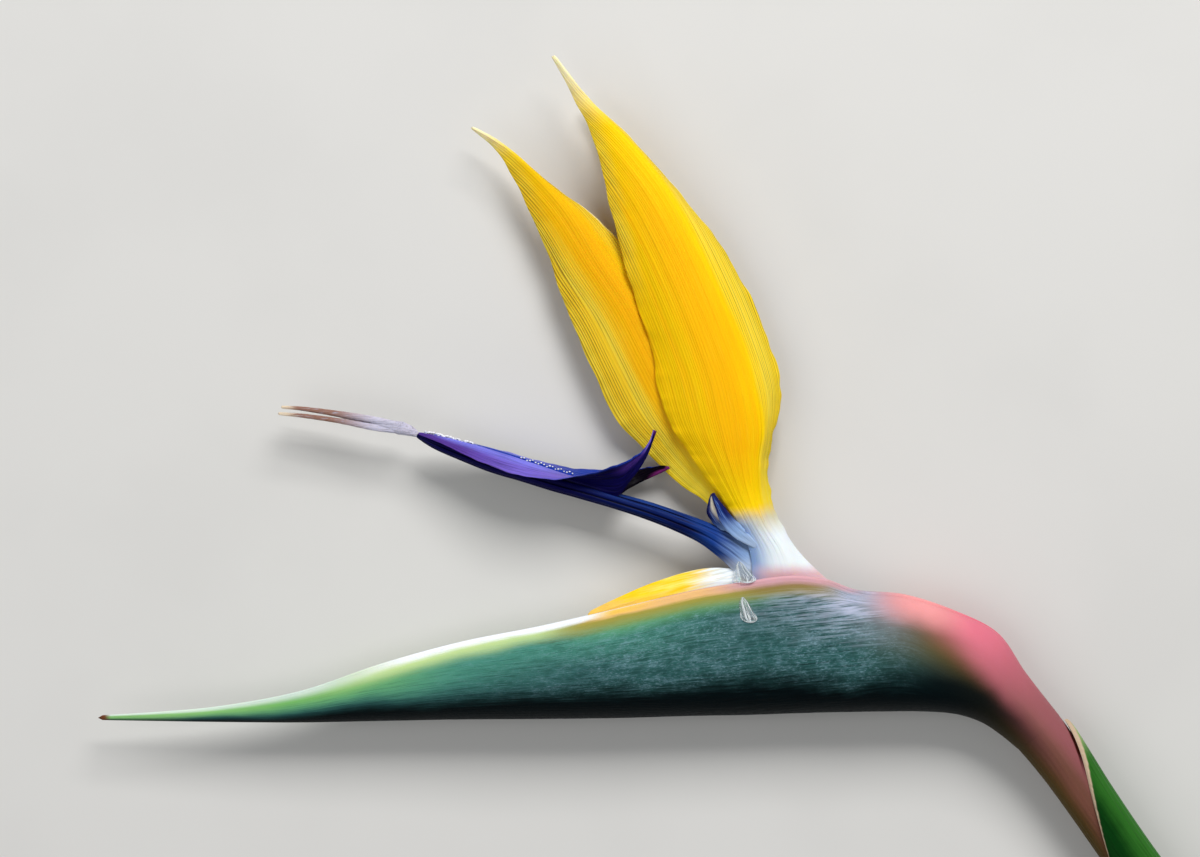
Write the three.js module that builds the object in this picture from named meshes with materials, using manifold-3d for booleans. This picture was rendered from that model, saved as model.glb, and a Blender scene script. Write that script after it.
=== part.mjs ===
// A cut bird of paradise flower, lying on its side: stem, sheath leaf, boat-shaped spathe, one open flower.
//
// Millimetres. The model is drawn in the flower's own plane: +X runs from the beak's tip back to the stem,
// +Y is the way the sepals stand, and +Z comes out of the side that faces up once the flower lies down.
// X = 0, Y = 0 is the throat, where the flower leaves the spathe. Z = 0 is its plane of symmetry.
// At the end the whole flower is shifted so that the origin is under the middle of its box, on the table.

import * as THREE from "three";
import { mergeVertices } from "three/addons/utils/BufferGeometryUtils.js";
import Module from "manifold-3d";

const wasm = await Module();
wasm.setup();

// Driving dimensions
const CLEARANCE = 0.3; // air between two pieces that touch on the real flower
const TABLE_Z = -8.2; // the table's top, which presses a small flat spot into what rests on it
const SEPAL_THICKNESS = 0.9;
const PETAL_THICKNESS = 0.8;
const FOLD_LAP = 0.25; // how far the two sides of a sharp fold run past its crease
const SLIT_WIDTH = 0.4; // between the spathe's lips
const BELLY = 0.45; // how high up its flank the spathe is widest
const STEM_LENGTH = 96; // from the spathe's base to the cut
const STEM_SPARE = 10; // drawn past the cut, for the knife to take off
const TENON_LENGTH = 11; // of the stem's end inside the spathe's base
const TENON_RADIUS = 4.2;
const CUT_SLANT = THREE.MathUtils.degToRad(24); // of the knife's cut across the stem
const SHEATH_THICKNESS = 0.7;
const SHEATH_TIP = 4.1; // how far below the spathe's base the sheath's point starts
const SHEATH_RISE = 40; // from the sheath's point down to the lowest place of its slanting rim
const OVARY_TOP = 8; // above the throat, and as far below it
const STYLE_LENGTH = 84; // from the ovary to the parting of the stigma's arms
const CLAW_RIDGES = 7; // round the whole claw
const CLAW_SIDES = 4 * CLAW_RIDGES;
const POLLEN_LUMPS = 13; // on the anthers
const RING_SIDES = 18; // of a round piece
const FINEST = 0.005; // smaller steps in a cut's edge are smoothed away

// Colours, as the photograph shows them
const STEM_PINK = "#b5666f";
const LEAF_GREEN = "#2d7a35";
const SPATHE_GREEN = "#3f6f62";
const BRACT_YELLOW = "#f0d84a";
const SEPAL_YELLOW = "#f9c20a";
const OVARY_WHITE = "#e6ecf4";
const PETAL_BLUE = "#2b2f9e";
const HOOD_BLUE = "#5a63b4";
const POLLEN_WHITE = "#f2f0f6";
const STIGMA_WHITE = "#d9cfdc";

// Smooth curves through a few stations

// Each station is [place, value, value, ...]. The track gives the values at any place between them.
function track(stations) {
  const places = stations.map((station) => station[0]);
  const values = stations.flatMap((station) => station.slice(1));
  const curve = new THREE.CubicInterpolant(places, values, stations[0].length - 1);
  return (place) => Array.from(curve.evaluate(place));
}

// A track whose stations are evenly spaced from 0 to 1.
function evenTrack(stations) {
  return track(stations.map((station, i) => [i / (stations.length - 1), ...station]));
}

function point(values, first = 0) {
  return new THREE.Vector3(values[first], values[first + 1], values[first + 2]);
}

function mix(a, b, share) {
  return a.clone().lerp(b, share);
}

// 0 to 1 in a number of even steps.
function steps(count) {
  return Array.from({ length: count + 1 }, (_, i) => i / count);
}

// The angles of a ring's corners.
function turns(sides) {
  return Array.from({ length: sides }, (_, i) => (2 * Math.PI * (i + 0.5)) / sides);
}

// Closed solids from grids of points

function addGrid(triangles, grid) {
  for (let i = 0; i + 1 < grid.length; i += 1) {
    for (let j = 0; j + 1 < grid[i].length; j += 1) {
      const [a, b, c, d] = [grid[i][j], grid[i + 1][j], grid[i + 1][j + 1], grid[i][j + 1]];
      triangles.push(a, b, c, a, c, d);
    }
  }
}

function addFan(triangles, ring) {
  const centre = ring.reduce((sum, p) => sum.add(p), new THREE.Vector3()).divideScalar(ring.length);
  ring.forEach((p, i) => triangles.push(centre, p, ring[(i + 1) % ring.length]));
}

// The triangles as one solid with its faces pointing out. Triangles with two like corners are dropped.
function solidOf(triangles) {
  const geometry = mergeVertices(new THREE.BufferGeometry().setFromPoints(triangles), 1e-3);
  const corners = [];
  for (let i = 0; i < geometry.index.count; i += 3) {
    const [a, b, c] = geometry.index.array.slice(i, i + 3);
    if (a !== b && b !== c && a !== c) corners.push(a, b, c);
  }
  const vertProperties = geometry.attributes.position.array;
  const make = (triVerts) => new wasm.Manifold(new wasm.Mesh({ numProp: 3, vertProperties, triVerts }));
  const solid = make(Uint32Array.from(corners));
  return solid.volume() > 0 ? solid : make(Uint32Array.from(corners).reverse());
}

// A solid through closed rings of points, with both ends capped.
function loft(rings) {
  const triangles = [];
  const closed = rings.map((ring) => [...ring, ring[0]]);
  addGrid(triangles, closed);
  addFan(triangles, rings[0]);
  addFan(triangles, rings[rings.length - 1].toReversed());
  return solidOf(triangles);
}

// A thin solid between two grids of points, whose faces are split alike.
// A sleeve has its two sides joined; a leaf has a rim there.
function between(front, back, isSleeve) {
  const close = (grid) => (isSleeve ? grid.map((row) => [...row, row[0]]) : grid);
  const [top, under] = [close(front), close(back)];
  const triangles = [];
  const lower = [];
  addGrid(triangles, top);
  addGrid(lower, under);
  triangles.push(...lower.toReversed());
  addGrid(triangles, [under[0], top[0]]);
  addGrid(triangles, [top[top.length - 1], under[under.length - 1]]);
  if (!isSleeve) {
    const side = (grid, column) => grid.map((row) => row[column]);
    const last = top[0].length - 1;
    addGrid(triangles, [side(top, 0), side(under, 0)]);
    addGrid(triangles, [side(under, last), side(top, last)]);
  }
  return solidOf(triangles);
}

// A blade of even thickness about a middle surface, which takes shares along and across to a point.
// With a gap, it is the space that the blade and that much air round it take up.
function blade(surface, thickness, gap, rows, columns) {
  const tiny = 1e-3;
  const outOf = (share) => (share === 0 ? -gap : share === 1 ? gap : 0);
  const face = (sign) => (u) =>
    steps(columns).map((v) => {
      const [u0, u1] = [Math.max(u - tiny, 0), Math.min(u + tiny, 1)];
      const [v0, v1] = [Math.max(v - tiny, 0), Math.min(v + tiny, 1)];
      const along = surface(u1, v).sub(surface(u0, v)).normalize();
      const across = surface(u, v1).sub(surface(u, v0)).normalize();
      const side = along.clone().cross(across).setLength(sign * (thickness / 2 + gap));
      return surface(u, v).add(side).addScaledVector(along, outOf(u)).addScaledVector(across, outOf(v));
    });
  return between(steps(rows).map(face(1)), steps(rows).map(face(-1)), false);
}

// The direction in the flower's plane square to a track's line, to the left of its heading.
function square(at, place, step) {
  const ahead = point(at(place + step)).sub(point(at(place - step)));
  return new THREE.Vector3(-ahead.y, ahead.x, 0).normalize();
}

// A rod along a track of [x, y, z, height, depth], with height in the flower's plane and depth along Z.
// With a gap, it is the space that the rod and that much air round it take up.
function rod(at, from, to, gap, rows, sides) {
  const step = (to - from) / (4 * rows);
  const rings = steps(rows).map((share) => {
    const place = THREE.MathUtils.lerp(from, to, share);
    const [height, depth] = at(place).slice(3);
    const side = square(at, THREE.MathUtils.clamp(place, from + step, to - step), step);
    const ahead = new THREE.Vector3(side.y, -side.x, 0);
    const centre = point(at(place)).addScaledVector(ahead, share === 0 ? -gap : share === 1 ? gap : 0);
    return turns(sides).map((turn) => {
      const z = new THREE.Vector3(0, 0, (depth + gap) * Math.sin(turn));
      return centre.clone().addScaledVector(side, (height + gap) * Math.cos(turn)).add(z);
    });
  });
  return loft(rings);
}

// The solid without what the cutters fill. Scraps that a cut leaves loose are dropped, with tiny facets.
function cut(solid, ...cutters) {
  const left = cutters.reduce((rest, cutter) => rest.subtract(cutter), solid);
  const largest = left.decompose().reduce((most, body) => (body.volume() > most.volume() ? body : most));
  return largest.simplify(FINEST);
}

function onTable(solid) {
  return solid.trimByPlane([0, 0, 1], TABLE_Z);
}

// The stem, from its tenon in the spathe's base to the knife's cut

// [distance below the spathe's base, x, y, z, radius in the flower's plane, radius along Z]
const stemAt = track([
  [-TENON_LENGTH - 1, 41.2, -20.8, 0, 5.4, 5.6],
  [0, 49.7, -28.9, 0, 5.4, 5.6],
  [9, 55.6, -36.2, 0, 5.0, 5.2],
  [20, 61.8, -45.2, -0.1, 4.6, 4.8],
  [33, 69.4, -56.2, -0.4, 4.5, 4.6],
  [60, 85.4, -77.9, -1.4, 4.6, 4.6],
  [STEM_LENGTH + STEM_SPARE + 2, 113.5, -116.6, -3.0, 4.8, 4.8],
]);

// What is left of a solid on the near or far side of a slice square to the stem, or slanted to it.
function slice(solid, place, slant, keepBelow) {
  const along = point(stemAt(place + 0.5)).sub(point(stemAt(place - 0.5))).setZ(0).normalize();
  const normal = along.applyAxisAngle(new THREE.Vector3(0, 0, 1), slant).multiplyScalar(keepBelow ? 1 : -1);
  return solid.trimByPlane(normal.toArray(), normal.dot(point(stemAt(place))));
}

function tenon(gap) {
  const at = (place) => [...stemAt(place).slice(0, 3), TENON_RADIUS, TENON_RADIUS];
  return rod(at, -TENON_LENGTH, 1, gap, 5, RING_SIDES);
}

function stem() {
  const whole = rod(stemAt, -1, STEM_LENGTH + STEM_SPARE, 0, 14, RING_SIDES);
  return slice(slice(whole, CLEARANCE / 2, 0, true).add(tenon(0)), STEM_LENGTH, CUT_SLANT, false);
}

// The sheath: a leaf base wrapped round the stem, with its point up the outer side and a slanting rim.
// Rows of points crowd together towards the rim.
function sheath() {
  const wall = (gap) =>
    steps(11).map((share) =>
      turns(RING_SIDES).map((turn, i) => {
        const fromPoint = 2 * Math.min(i, RING_SIDES - i) / RING_SIDES;
        const rim = SHEATH_TIP + SHEATH_RISE * fromPoint ** 1.2;
        const place = THREE.MathUtils.lerp(rim, STEM_LENGTH + STEM_SPARE, share ** 1.3);
        const [height, depth] = stemAt(place).slice(3);
        const angle = turn - Math.PI / RING_SIDES;
        const reach = (height + gap) * Math.cos(angle);
        const z = new THREE.Vector3(0, 0, (depth + gap) * Math.sin(angle));
        return point(stemAt(place)).addScaledVector(square(stemAt, place, 0.5), reach).add(z);
      }),
    );
  const sleeve = between(wall(CLEARANCE + SHEATH_THICKNESS), wall(CLEARANCE), true);
  return onTable(slice(sleeve, STEM_LENGTH, CUT_SLANT, false));
}

// The spathe: a folded, boat-shaped bract whose two lips meet along a slit on top

// [x and y of the top, x and y of the bottom, half-width, half-width at the lips, roundness, slit's depth]
const spatheAt = evenTrack([
  [-136.4, -27.9, -136.4, -28.8, 0.4, 0.3, 0.5, 0.1],
  [-125, -27.2, -125, -29.0, 1.1, 0.6, 0.3, 0.3],
  [-112, -26.0, -112, -29.2, 2.0, 0.8, 0.2, 0.6],
  [-96, -23.0, -96, -29.3, 3.4, 0.9, 0, 1.0],
  [-80, -17.6, -80, -29.0, 5.0, 1.0, 0, 1.4],
  [-64, -13.2, -64, -28.7, 6.4, 1.2, 0, 1.6],
  [-48, -10.0, -48, -28.6, 7.4, 1.5, 0, 1.6],
  [-32, -6.8, -32, -28.4, 8.0, 2.4, 0, 1.6],
  [-18, -4.1, -18, -28.0, 8.4, 3.6, 0, 1.6],
  [-7, -2.0, -7, -27.8, 8.6, 5.4, 0, 1.6],
  [2, -0.5, 2, -27.5, 8.6, 6.2, 0, 1.6],
  [9, -0.5, 8.6, -27.3, 8.6, 5.0, 0.1, 1.4],
  [15.5, -2.5, 14, -27.2, 8.5, 3.2, 0.3, 1.0],
  [25, -3.7, 21, -27.1, 8.2, 2.6, 0.6, 0.7],
  [35, -6.9, 29, -27.1, 7.6, 1.6, 0.9, 0.4],
  [43.6, -11.4, 36, -27.8, 6.9, 0.5, 1, 0.3],
  [49.2, -19.4, 42, -30.2, 6.2, 0.3, 1, 0.2],
  [55.4, -27.4, 48, -34.9, 5.6, 0.2, 1, 0.2],
]);

// How far the flank stands out at a share of its height, as a share of the half-width.
function flank(height, roundness, lip) {
  if (height < BELLY) return Math.sqrt(1 - (1 - height / BELLY) ** 2);
  const above = (height - BELLY) / (1 - BELLY);
  const boat = 1 - (1 - lip) * above ** 1.9;
  const round = lip + (1 - lip) * Math.sqrt(1 - above ** 2);
  return THREE.MathUtils.lerp(boat, round, roundness);
}

function spatheRing(place, heights) {
  const [topX, topY, bottomX, bottomY, halfWidth, lips, roundness, depth] = spatheAt(place);
  const [top, bottom] = [new THREE.Vector3(topX, topY, 0), new THREE.Vector3(bottomX, bottomY, 0)];
  const slit = 0.5 * SLIT_WIDTH * Math.min(1, lips);
  const outside = heights
    .slice(1)
    .map((height) => mix(bottom, top, height).setZ(halfWidth * flank(height, roundness, lips / halfWidth)));
  const mouth = top.clone().setZ(slit);
  const floor = top.clone().add(bottom.clone().sub(top).setLength(depth)).setZ(slit);
  const near = [...outside, mouth, floor];
  const far = near.map((p) => p.clone().setZ(-p.z)).toReversed();
  return [bottom, ...near, ...far];
}

function wholeSpathe() {
  const heights = steps(8).map((share) => (1 - Math.cos(Math.PI * share)) / 2);
  const whole = loft(steps(34).map((place) => spatheRing(place, heights)));
  return onTable(slice(whole, -CLEARANCE / 2, 0, false));
}

// The inner bract: a papery fin that stands out of the slit in front of the flower

// [x, y, z, half-height, half-thickness]
const bractAt = evenTrack([
  [-38.5, -8.2, 0, 0.9, 0.35],
  [-32, -6.6, 0, 2.3, 0.7],
  [-24, -4.4, 0, 3.4, 1.1],
  [-15, -2.5, 0, 4.0, 1.4],
  [-7.4, -2.3, 0, 3.7, 1.5],
]);

function innerBract(gap) {
  return rod(bractAt, 0, 1, gap, 12, 14);
}

// The ovary, whose white top stands above the slit and carries the flower's parts

// [y, x, half-length, half-width]
const ovaryAt = track([
  [-OVARY_TOP, 0.6, 4.4, 2.2],
  [-4, 1.0, 5.6, 2.6],
  [0, 1.0, 5.8, 2.6],
  [4, -0.4, 4.2, 2.2],
  [OVARY_TOP, -1.6, 2.6, 1.5],
]);

// A round solid about the ovary's line, between two heights.
function aroundOvary(from, to, longer, wider) {
  const rings = steps(6).map((share) => {
    const y = THREE.MathUtils.lerp(from, to, share);
    const [x, halfLength, halfWidth] = ovaryAt(THREE.MathUtils.clamp(y, -OVARY_TOP, OVARY_TOP));
    return turns(16).map((turn) => {
      const across = (halfLength + longer) * Math.cos(turn);
      return new THREE.Vector3(x + across, y, (halfWidth + wider) * Math.sin(turn));
    });
  });
  return loft(rings);
}

// The sepals: three long keeled blades

// A surface between three lines. The bulge lifts the broad face between the left edge and the crease.
// The station is [left x, y, z, crease x, y, z, right x, y, z, bulge].
function keeled(lines, creaseAt) {
  return (u, v) => {
    const values = lines(u);
    const [left, crease, right] = [point(values, 0), point(values, 3), point(values, 6)];
    if (v < creaseAt) {
      const share = v / creaseAt;
      return mix(left, crease, share).add(new THREE.Vector3(0, 0, values[9] * Math.sin(Math.PI * share)));
    }
    return mix(crease, right, (v - creaseAt) / (1 - creaseAt));
  };
}

const nearSepal = { creaseAt: 0.7 };
nearSepal.lines = evenTrack([
  [-5.6, -3.4, 2.2, 3.4, -3.4, 3.6, 7.8, -3.2, 0.8, 0.3],
  [-6.0, 4.4, 2.5, 1.4, 4.4, 3.7, 4.4, 4.2, 0.8, 0.3],
  [-8.6, 10.6, 2.3, -2.6, 11.0, 3.5, 0.2, 10.6, 0.8, 0.8],
  [-12.0, 15.6, 2.0, -4.2, 16.8, 3.3, -1.9, 16.6, 0.8, 1.0],
  [-17.0, 23.0, 2.0, -4.2, 23.0, 3.7, -2.3, 23.0, 1.0, 1.6],
  [-21.6, 29.4, 2.0, -3.4, 29.2, 4.2, -1.0, 29.4, 0.0, 2.0],
  [-24.2, 37.0, 2.0, -4.6, 37.0, 4.6, 0.4, 37.0, -2.0, 2.3],
  [-26.0, 46.0, 2.0, -7.6, 46.0, 4.8, -1.8, 46.0, -2.8, 2.4],
  [-29.4, 57.0, 2.0, -12.0, 57.0, 4.8, -6.4, 57.0, -2.4, 2.2],
  [-32.6, 67.6, 2.1, -17.0, 67.6, 4.7, -12.8, 67.6, -1.2, 1.8],
  [-34.6, 77.0, 2.3, -22.4, 77.0, 4.5, -20.4, 77.0, 0.6, 1.3],
  [-37.2, 86.4, 2.7, -29.7, 86.4, 4.2, -28.8, 86.4, 2.0, 0.8],
  [-41.1, 95.4, 3.1, -38.9, 95.6, 4.0, -38.4, 95.6, 3.2, 0.2],
  [-45.7, 103.7, 3.6, -45.3, 103.9, 3.8, -45.0, 104.0, 3.6, 0],
]);

const middleSepal = { creaseAt: 0.55 };
middleSepal.lines = evenTrack([
  [-6.4, 4.0, 0, -4.4, 5.0, 0.1, -2.6, 6.0, 0, 0],
  [-10.0, 9.6, -0.5, -7.0, 10.6, 0.0, -4.4, 11.4, -0.5, 0.1],
  [-15.4, 15.0, -0.9, -11.8, 18.0, 0.0, -8.0, 20.6, -0.8, 0.1],
  [-21.0, 19.2, -1.1, -15.0, 24.0, 0.1, -10.8, 28.0, -1.1, 0.1],
  [-26.6, 24.6, -1.3, -18.0, 29.6, 0.2, -13.4, 34.6, -1.3, 0.2],
  [-32.4, 31.0, -1.3, -21.2, 36.0, 0.3, -15.8, 41.6, -1.3, 0.2],
  [-37.4, 40.6, -1.3, -25.4, 44.6, 0.3, -19.4, 49.2, -1.3, 0.2],
  [-41.5, 50.6, -1.4, -30.2, 53.8, 0.4, -23.6, 57.4, -1.3, 0.2],
  [-45.2, 60.4, -1.4, -36.4, 63.2, 0.5, -30.4, 65.4, -1.3, 0.4],
  [-49.3, 71.2, -1.3, -42.8, 73.4, 0.5, -38.0, 72.7, -1.1, 0.4],
  [-53.4, 79.8, -1.1, -50.0, 81.4, 0.3, -47.2, 79.4, -0.7, 0.2],
  [-57.6, 85.9, -0.8, -56.2, 86.6, -0.1, -54.4, 85.8, -0.4, 0.1],
  [-61.9, 89.6, -0.6, -61.6, 89.8, -0.4, -61.3, 89.9, -0.5, 0],
]);

const farSepal = { creaseAt: 0.68 };
farSepal.lines = evenTrack([
  [-5.6, -3.4, -2.2, 3.2, -3.4, -3.6, 7.8, -3.2, -0.8, -0.3],
  [-5.8, 4.4, -2.5, 1.2, 4.4, -3.7, 4.2, 4.2, -0.8, -0.3],
  [-7.4, 10.8, -2.6, -2.4, 11.4, -4.2, 0.2, 10.8, -1.0, -0.6],
  [-11.0, 17.4, -2.8, -4.2, 17.8, -5.0, -1.8, 17.2, -1.3, -0.9],
  [-14.6, 24.6, -2.8, -4.6, 24.8, -6.0, -2.6, 24.6, -1.9, -1.3],
  [-18.6, 33.0, -2.8, -4.8, 33.0, -7.0, -1.8, 33.0, -3.2, -1.5],
  [-22.8, 42.6, -2.8, -7.2, 42.4, -7.7, -2.4, 42.6, -4.2, -1.6],
  [-25.6, 52.0, -2.8, -11.2, 52.0, -7.9, -6.2, 52.0, -4.4, -1.6],
  [-28.4, 62.0, -2.9, -15.8, 62.0, -7.5, -11.6, 62.4, -3.8, -1.3],
  [-31.4, 72.6, -3.0, -21.4, 72.6, -6.6, -18.2, 73.0, -3.4, -1.0],
  [-33.6, 82.0, -3.2, -27.8, 82.0, -5.6, -26.0, 83.4, -3.4, -0.6],
  [-36.4, 90.0, -3.6, -33.9, 90.2, -4.8, -32.8, 90.6, -3.8, -0.3],
  [-39.6, 95.0, -4.2, -39.2, 95.2, -4.3, -38.9, 95.3, -4.2, 0],
]);

function sepal({ lines, creaseAt }, gap) {
  return blade(keeled(lines, creaseAt), SEPAL_THICKNESS, gap, 26, 7);
}

// A blade with a sharp fold: two panels between three lines, each run a little past the crease to join.
// The station is [first x, y, z, crease x, y, z, last x, y, z].
function folded(lines, gap, rows, columns) {
  const panel = (from, to) => {
    const surface = (u, v) => {
      const values = lines(u);
      const [start, end] = [point(values, from), point(values, to)];
      const past = end.clone().sub(start).normalize().multiplyScalar(FOLD_LAP);
      return mix(start, end.add(past), v);
    };
    return blade(surface, PETAL_THICKNESS, gap, rows, columns);
  };
  return panel(0, 3).add(panel(6, 3));
}

// The arrow: two blue petals side by side, each one half of a ridged claw with a barbed flange

// [x, y, z, half-height, half-depth], from the ovary to the arrow's point
const clawAt = evenTrack([
  [-1.0, 0.4, 0, 3.2, 1.7],
  [-5.6, 2.4, 0, 3.2, 1.9],
  [-10.2, 5.8, 0, 2.8, 2.1],
  [-15.0, 8.6, 0, 2.2, 2.3],
  [-20.4, 10.9, 0, 1.9, 2.2],
  [-26.4, 13.1, 0, 1.75, 2.1],
  [-32.6, 15.0, 0, 1.6, 2.0],
  [-39.8, 17.2, 0, 1.7, 2.0],
  [-45.8, 18.9, 0, 1.7, 1.9],
  [-51.6, 20.6, 0, 1.6, 1.8],
  [-57.4, 22.2, 0, 1.5, 1.7],
  [-63.0, 24.3, 0, 1.4, 1.6],
  [-68.8, 26.5, 0, 1.2, 1.5],
  [-72.6, 28.2, 0, 1.0, 1.3],
]);

function claw() {
  const rings = steps(24).map((place) => {
    const [height, depth] = clawAt(place).slice(3);
    const side = square(clawAt, THREE.MathUtils.clamp(place, 0.01, 0.99), 0.01);
    const relief = 0.07 * Math.min(1, place / 0.15);
    return turns(CLAW_SIDES).map((turn) => {
      const swell = 1 + relief * Math.cos(CLAW_RIDGES * turn);
      const z = new THREE.Vector3(0, 0, depth * swell * Math.sin(turn));
      return point(clawAt(place)).addScaledVector(side, height * swell * Math.cos(turn)).add(z);
    });
  });
  return loft(rings);
}

// The flanges, from the arrow's point to the barb's tip: the root in the claw, the crest beside the anthers,
// and the free edge. Past the claw the root line is the barb's lower edge.
const nearFlangeLines = evenTrack([
  [-72.2, 28.3, 1.1, -72.2, 28.5, 1.1, -72.1, 28.3, 1.5],
  [-68.0, 26.7, 1.1, -68.0, 27.8, 1.1, -67.9, 26.6, 2.4],
  [-62.0, 24.5, 1.1, -62.0, 26.4, 1.1, -62.1, 23.9, 3.7],
  [-56.0, 22.4, 1.1, -56.0, 24.7, 1.1, -56.2, 21.4, 4.9],
  [-50.0, 20.6, 1.1, -50.0, 22.7, 1.1, -50.4, 19.9, 5.6],
  [-44.6, 19.0, 1.1, -44.6, 20.8, 1.1, -45.0, 19.4, 6.0],
  [-40.2, 17.7, 1.2, -40.2, 19.3, 1.2, -39.6, 20.2, 6.2],
  [-36.4, 16.6, 1.3, -36.0, 18.1, 1.6, -35.2, 21.4, 6.2],
  [-32.8, 15.9, 1.5, -32.2, 17.9, 2.7, -31.6, 22.7, 6.0],
  [-30.6, 18.3, 3.2, -30.0, 19.8, 3.9, -29.2, 23.9, 5.8],
  [-28.4, 21.0, 4.5, -28.1, 22.1, 4.8, -27.4, 25.3, 5.6],
  [-26.5, 24.3, 5.2, -26.4, 24.9, 5.3, -26.1, 27.1, 5.5],
  [-24.9, 29.0, 5.4, -25.0, 29.1, 5.4, -25.3, 29.3, 5.4],
]);

const farFlangeLines = evenTrack([
  [-72.2, 28.3, -1.1, -72.2, 28.5, -1.1, -72.1, 28.8, -1.5],
  [-68.0, 26.7, -1.1, -68.0, 27.8, -1.1, -68.0, 27.95, -2.4],
  [-62.0, 24.5, -1.1, -62.0, 26.4, -1.1, -62.0, 26.55, -3.7],
  [-56.0, 22.4, -1.1, -56.0, 24.7, -1.1, -56.0, 25.05, -4.9],
  [-50.0, 20.6, -1.1, -50.0, 22.7, -1.1, -50.0, 23.45, -5.6],
  [-44.6, 19.0, -1.1, -44.6, 20.8, -1.1, -44.8, 22.15, -6.0],
  [-40.2, 17.7, -1.2, -40.2, 19.3, -1.2, -39.6, 21.35, -6.2],
  [-36.4, 16.6, -1.3, -36.0, 18.1, -1.6, -34.8, 21.25, -6.2],
  [-32.8, 15.9, -1.5, -32.0, 17.7, -2.7, -30.8, 21.25, -6.0],
  [-30.4, 17.3, -3.2, -29.6, 18.4, -3.9, -28.0, 21.45, -5.8],
  [-27.8, 18.7, -4.5, -27.2, 19.4, -4.8, -25.6, 21.85, -5.6],
  [-24.8, 20.1, -5.2, -24.4, 20.6, -5.3, -23.4, 22.1, -5.5],
  [-21.9, 21.5, -5.4, -22.0, 21.6, -5.4, -22.2, 21.9, -5.4],
]);

// Half the claw with its flange. The side is 1 for the near petal and -1 for the far one.
function arrowPetal(side, lines) {
  const half = claw().trimByPlane([0, 0, side], CLEARANCE / 2);
  return half.add(folded(lines, 0, 22, 3));
}

// The style, which runs inside the claw, and the three-armed stigma that stands out of the arrow's point

const styleAt = track([
  [0, -4.0, 1.8, 0, 0.35, 0.35],
  [6, -8.6, 4.8, 0, 0.35, 0.35],
  [16, -18.0, 9.8, 0, 0.35, 0.35],
  [32, -32.6, 15.0, 0, 0.35, 0.35],
  [52, -51.6, 20.6, 0, 0.35, 0.35],
  [66, -65.0, 25.1, 0, 0.35, 0.35],
  [73, -71.8, 27.9, 0, 0.35, 0.35],
  [75.4, -73.8, 28.9, 0, 1.0, 0.9],
  [77.5, -75.6, 29.5, 0, 1.3, 1.2],
  [81, -79.0, 30.2, 0, 1.0, 1.1],
  [STYLE_LENGTH, -82.0, 30.8, 0, 0.6, 0.8],
]);

// [x, y, z, half-height, half-depth]
const stigmaArms = [
  [
    [-75, 29.8, 0.5, 0.7, 0.6],
    [-81, 31.2, 0.6, 0.7, 0.6],
    [-88, 32.4, 0.6, 0.6, 0.5],
    [-95, 33.4, 0.6, 0.45, 0.4],
    [-99.8, 33.8, 0.6, 0.3, 0.3],
  ],
  [
    [-75, 29.0, 0.3, 0.7, 0.6],
    [-81, 29.7, 0.5, 0.7, 0.6],
    [-88, 31.0, 0.5, 0.55, 0.5],
    [-95, 32.0, 0.6, 0.45, 0.4],
    [-100.4, 32.5, 0.7, 0.3, 0.3],
  ],
  [
    [-75, 29.4, -0.4, 0.7, 0.6],
    [-81, 30.6, -0.8, 0.7, 0.6],
    [-88, 32.2, -1.2, 0.55, 0.5],
    [-94, 33.2, -1.5, 0.45, 0.4],
    [-98.2, 33.7, -1.7, 0.3, 0.3],
  ],
].map(evenTrack);

function style(gap) {
  return rod(styleAt, 0, STYLE_LENGTH, gap, 24, 6);
}

function styleAndStigma() {
  const arms = stigmaArms.map((at) => rod(at, 0, 1, 0, 8, 6));
  return arms.reduce((joined, arm) => joined.add(arm), style(0));
}

// The anthers: a thin strip on the claw between the flanges, with lumps of pollen along its top

const antherAt = evenTrack([
  [-41.5, 20.0, 0, 0.55, 0.4],
  [-47.5, 21.8, 0, 0.6, 0.4],
  [-53.5, 23.6, 0, 0.6, 0.4],
  [-59.5, 25.4, 0, 0.55, 0.4],
  [-65.5, 27.0, 0, 0.5, 0.4],
  [-71.2, 28.6, 0, 0.4, 0.35],
]);

function antherStrip(gap) {
  return rod(antherAt, 0, 1, gap, 14, 6);
}

function anthers() {
  const lumps = Array.from({ length: POLLEN_LUMPS }, (_, i) => {
    const [x, y, z, height] = antherAt((i + 0.6) / POLLEN_LUMPS);
    const size = 0.44 + 0.08 * Math.sin(2.4 * i);
    const lump = new THREE.IcosahedronGeometry(size, 0).translate(x, y + 0.8 * height, z);
    const corners = lump.attributes.position;
    const corner = (_, k) => new THREE.Vector3().fromBufferAttribute(corners, k);
    return solidOf(Array.from({ length: corners.count }, corner));
  });
  return lumps.reduce((joined, lump) => joined.add(lump), antherStrip(0));
}

// The hood: the small third petal, folded over the foot of the claw
const hoodLines = evenTrack([
  [-6.4, 5.0, 2.7, -4.2, 6.0, 3.0, -6.6, 6.8, 2.6],
  [-9.4, 7.6, 3.0, -6.8, 8.8, 3.1, -9.8, 8.4, 2.4],
  [-11.8, 10.6, 3.2, -9.2, 11.7, 3.1, -12.6, 9.8, 1.5],
  [-13.0, 13.6, 3.3, -11.6, 14.3, 3.0, -14.6, 12.4, 1.5],
  [-13.6, 15.6, 3.0, -12.8, 15.7, 2.8, -14.4, 14.8, 1.9],
  [-13.7, 16.6, 2.7, -13.4, 16.6, 2.6, -13.9, 16.4, 2.4],
]);

function hood(gap) {
  return folded(hoodLines, gap, 12, 3);
}

// Putting the flower together. Each piece is cut clear of the pieces that it wraps or passes.

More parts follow.
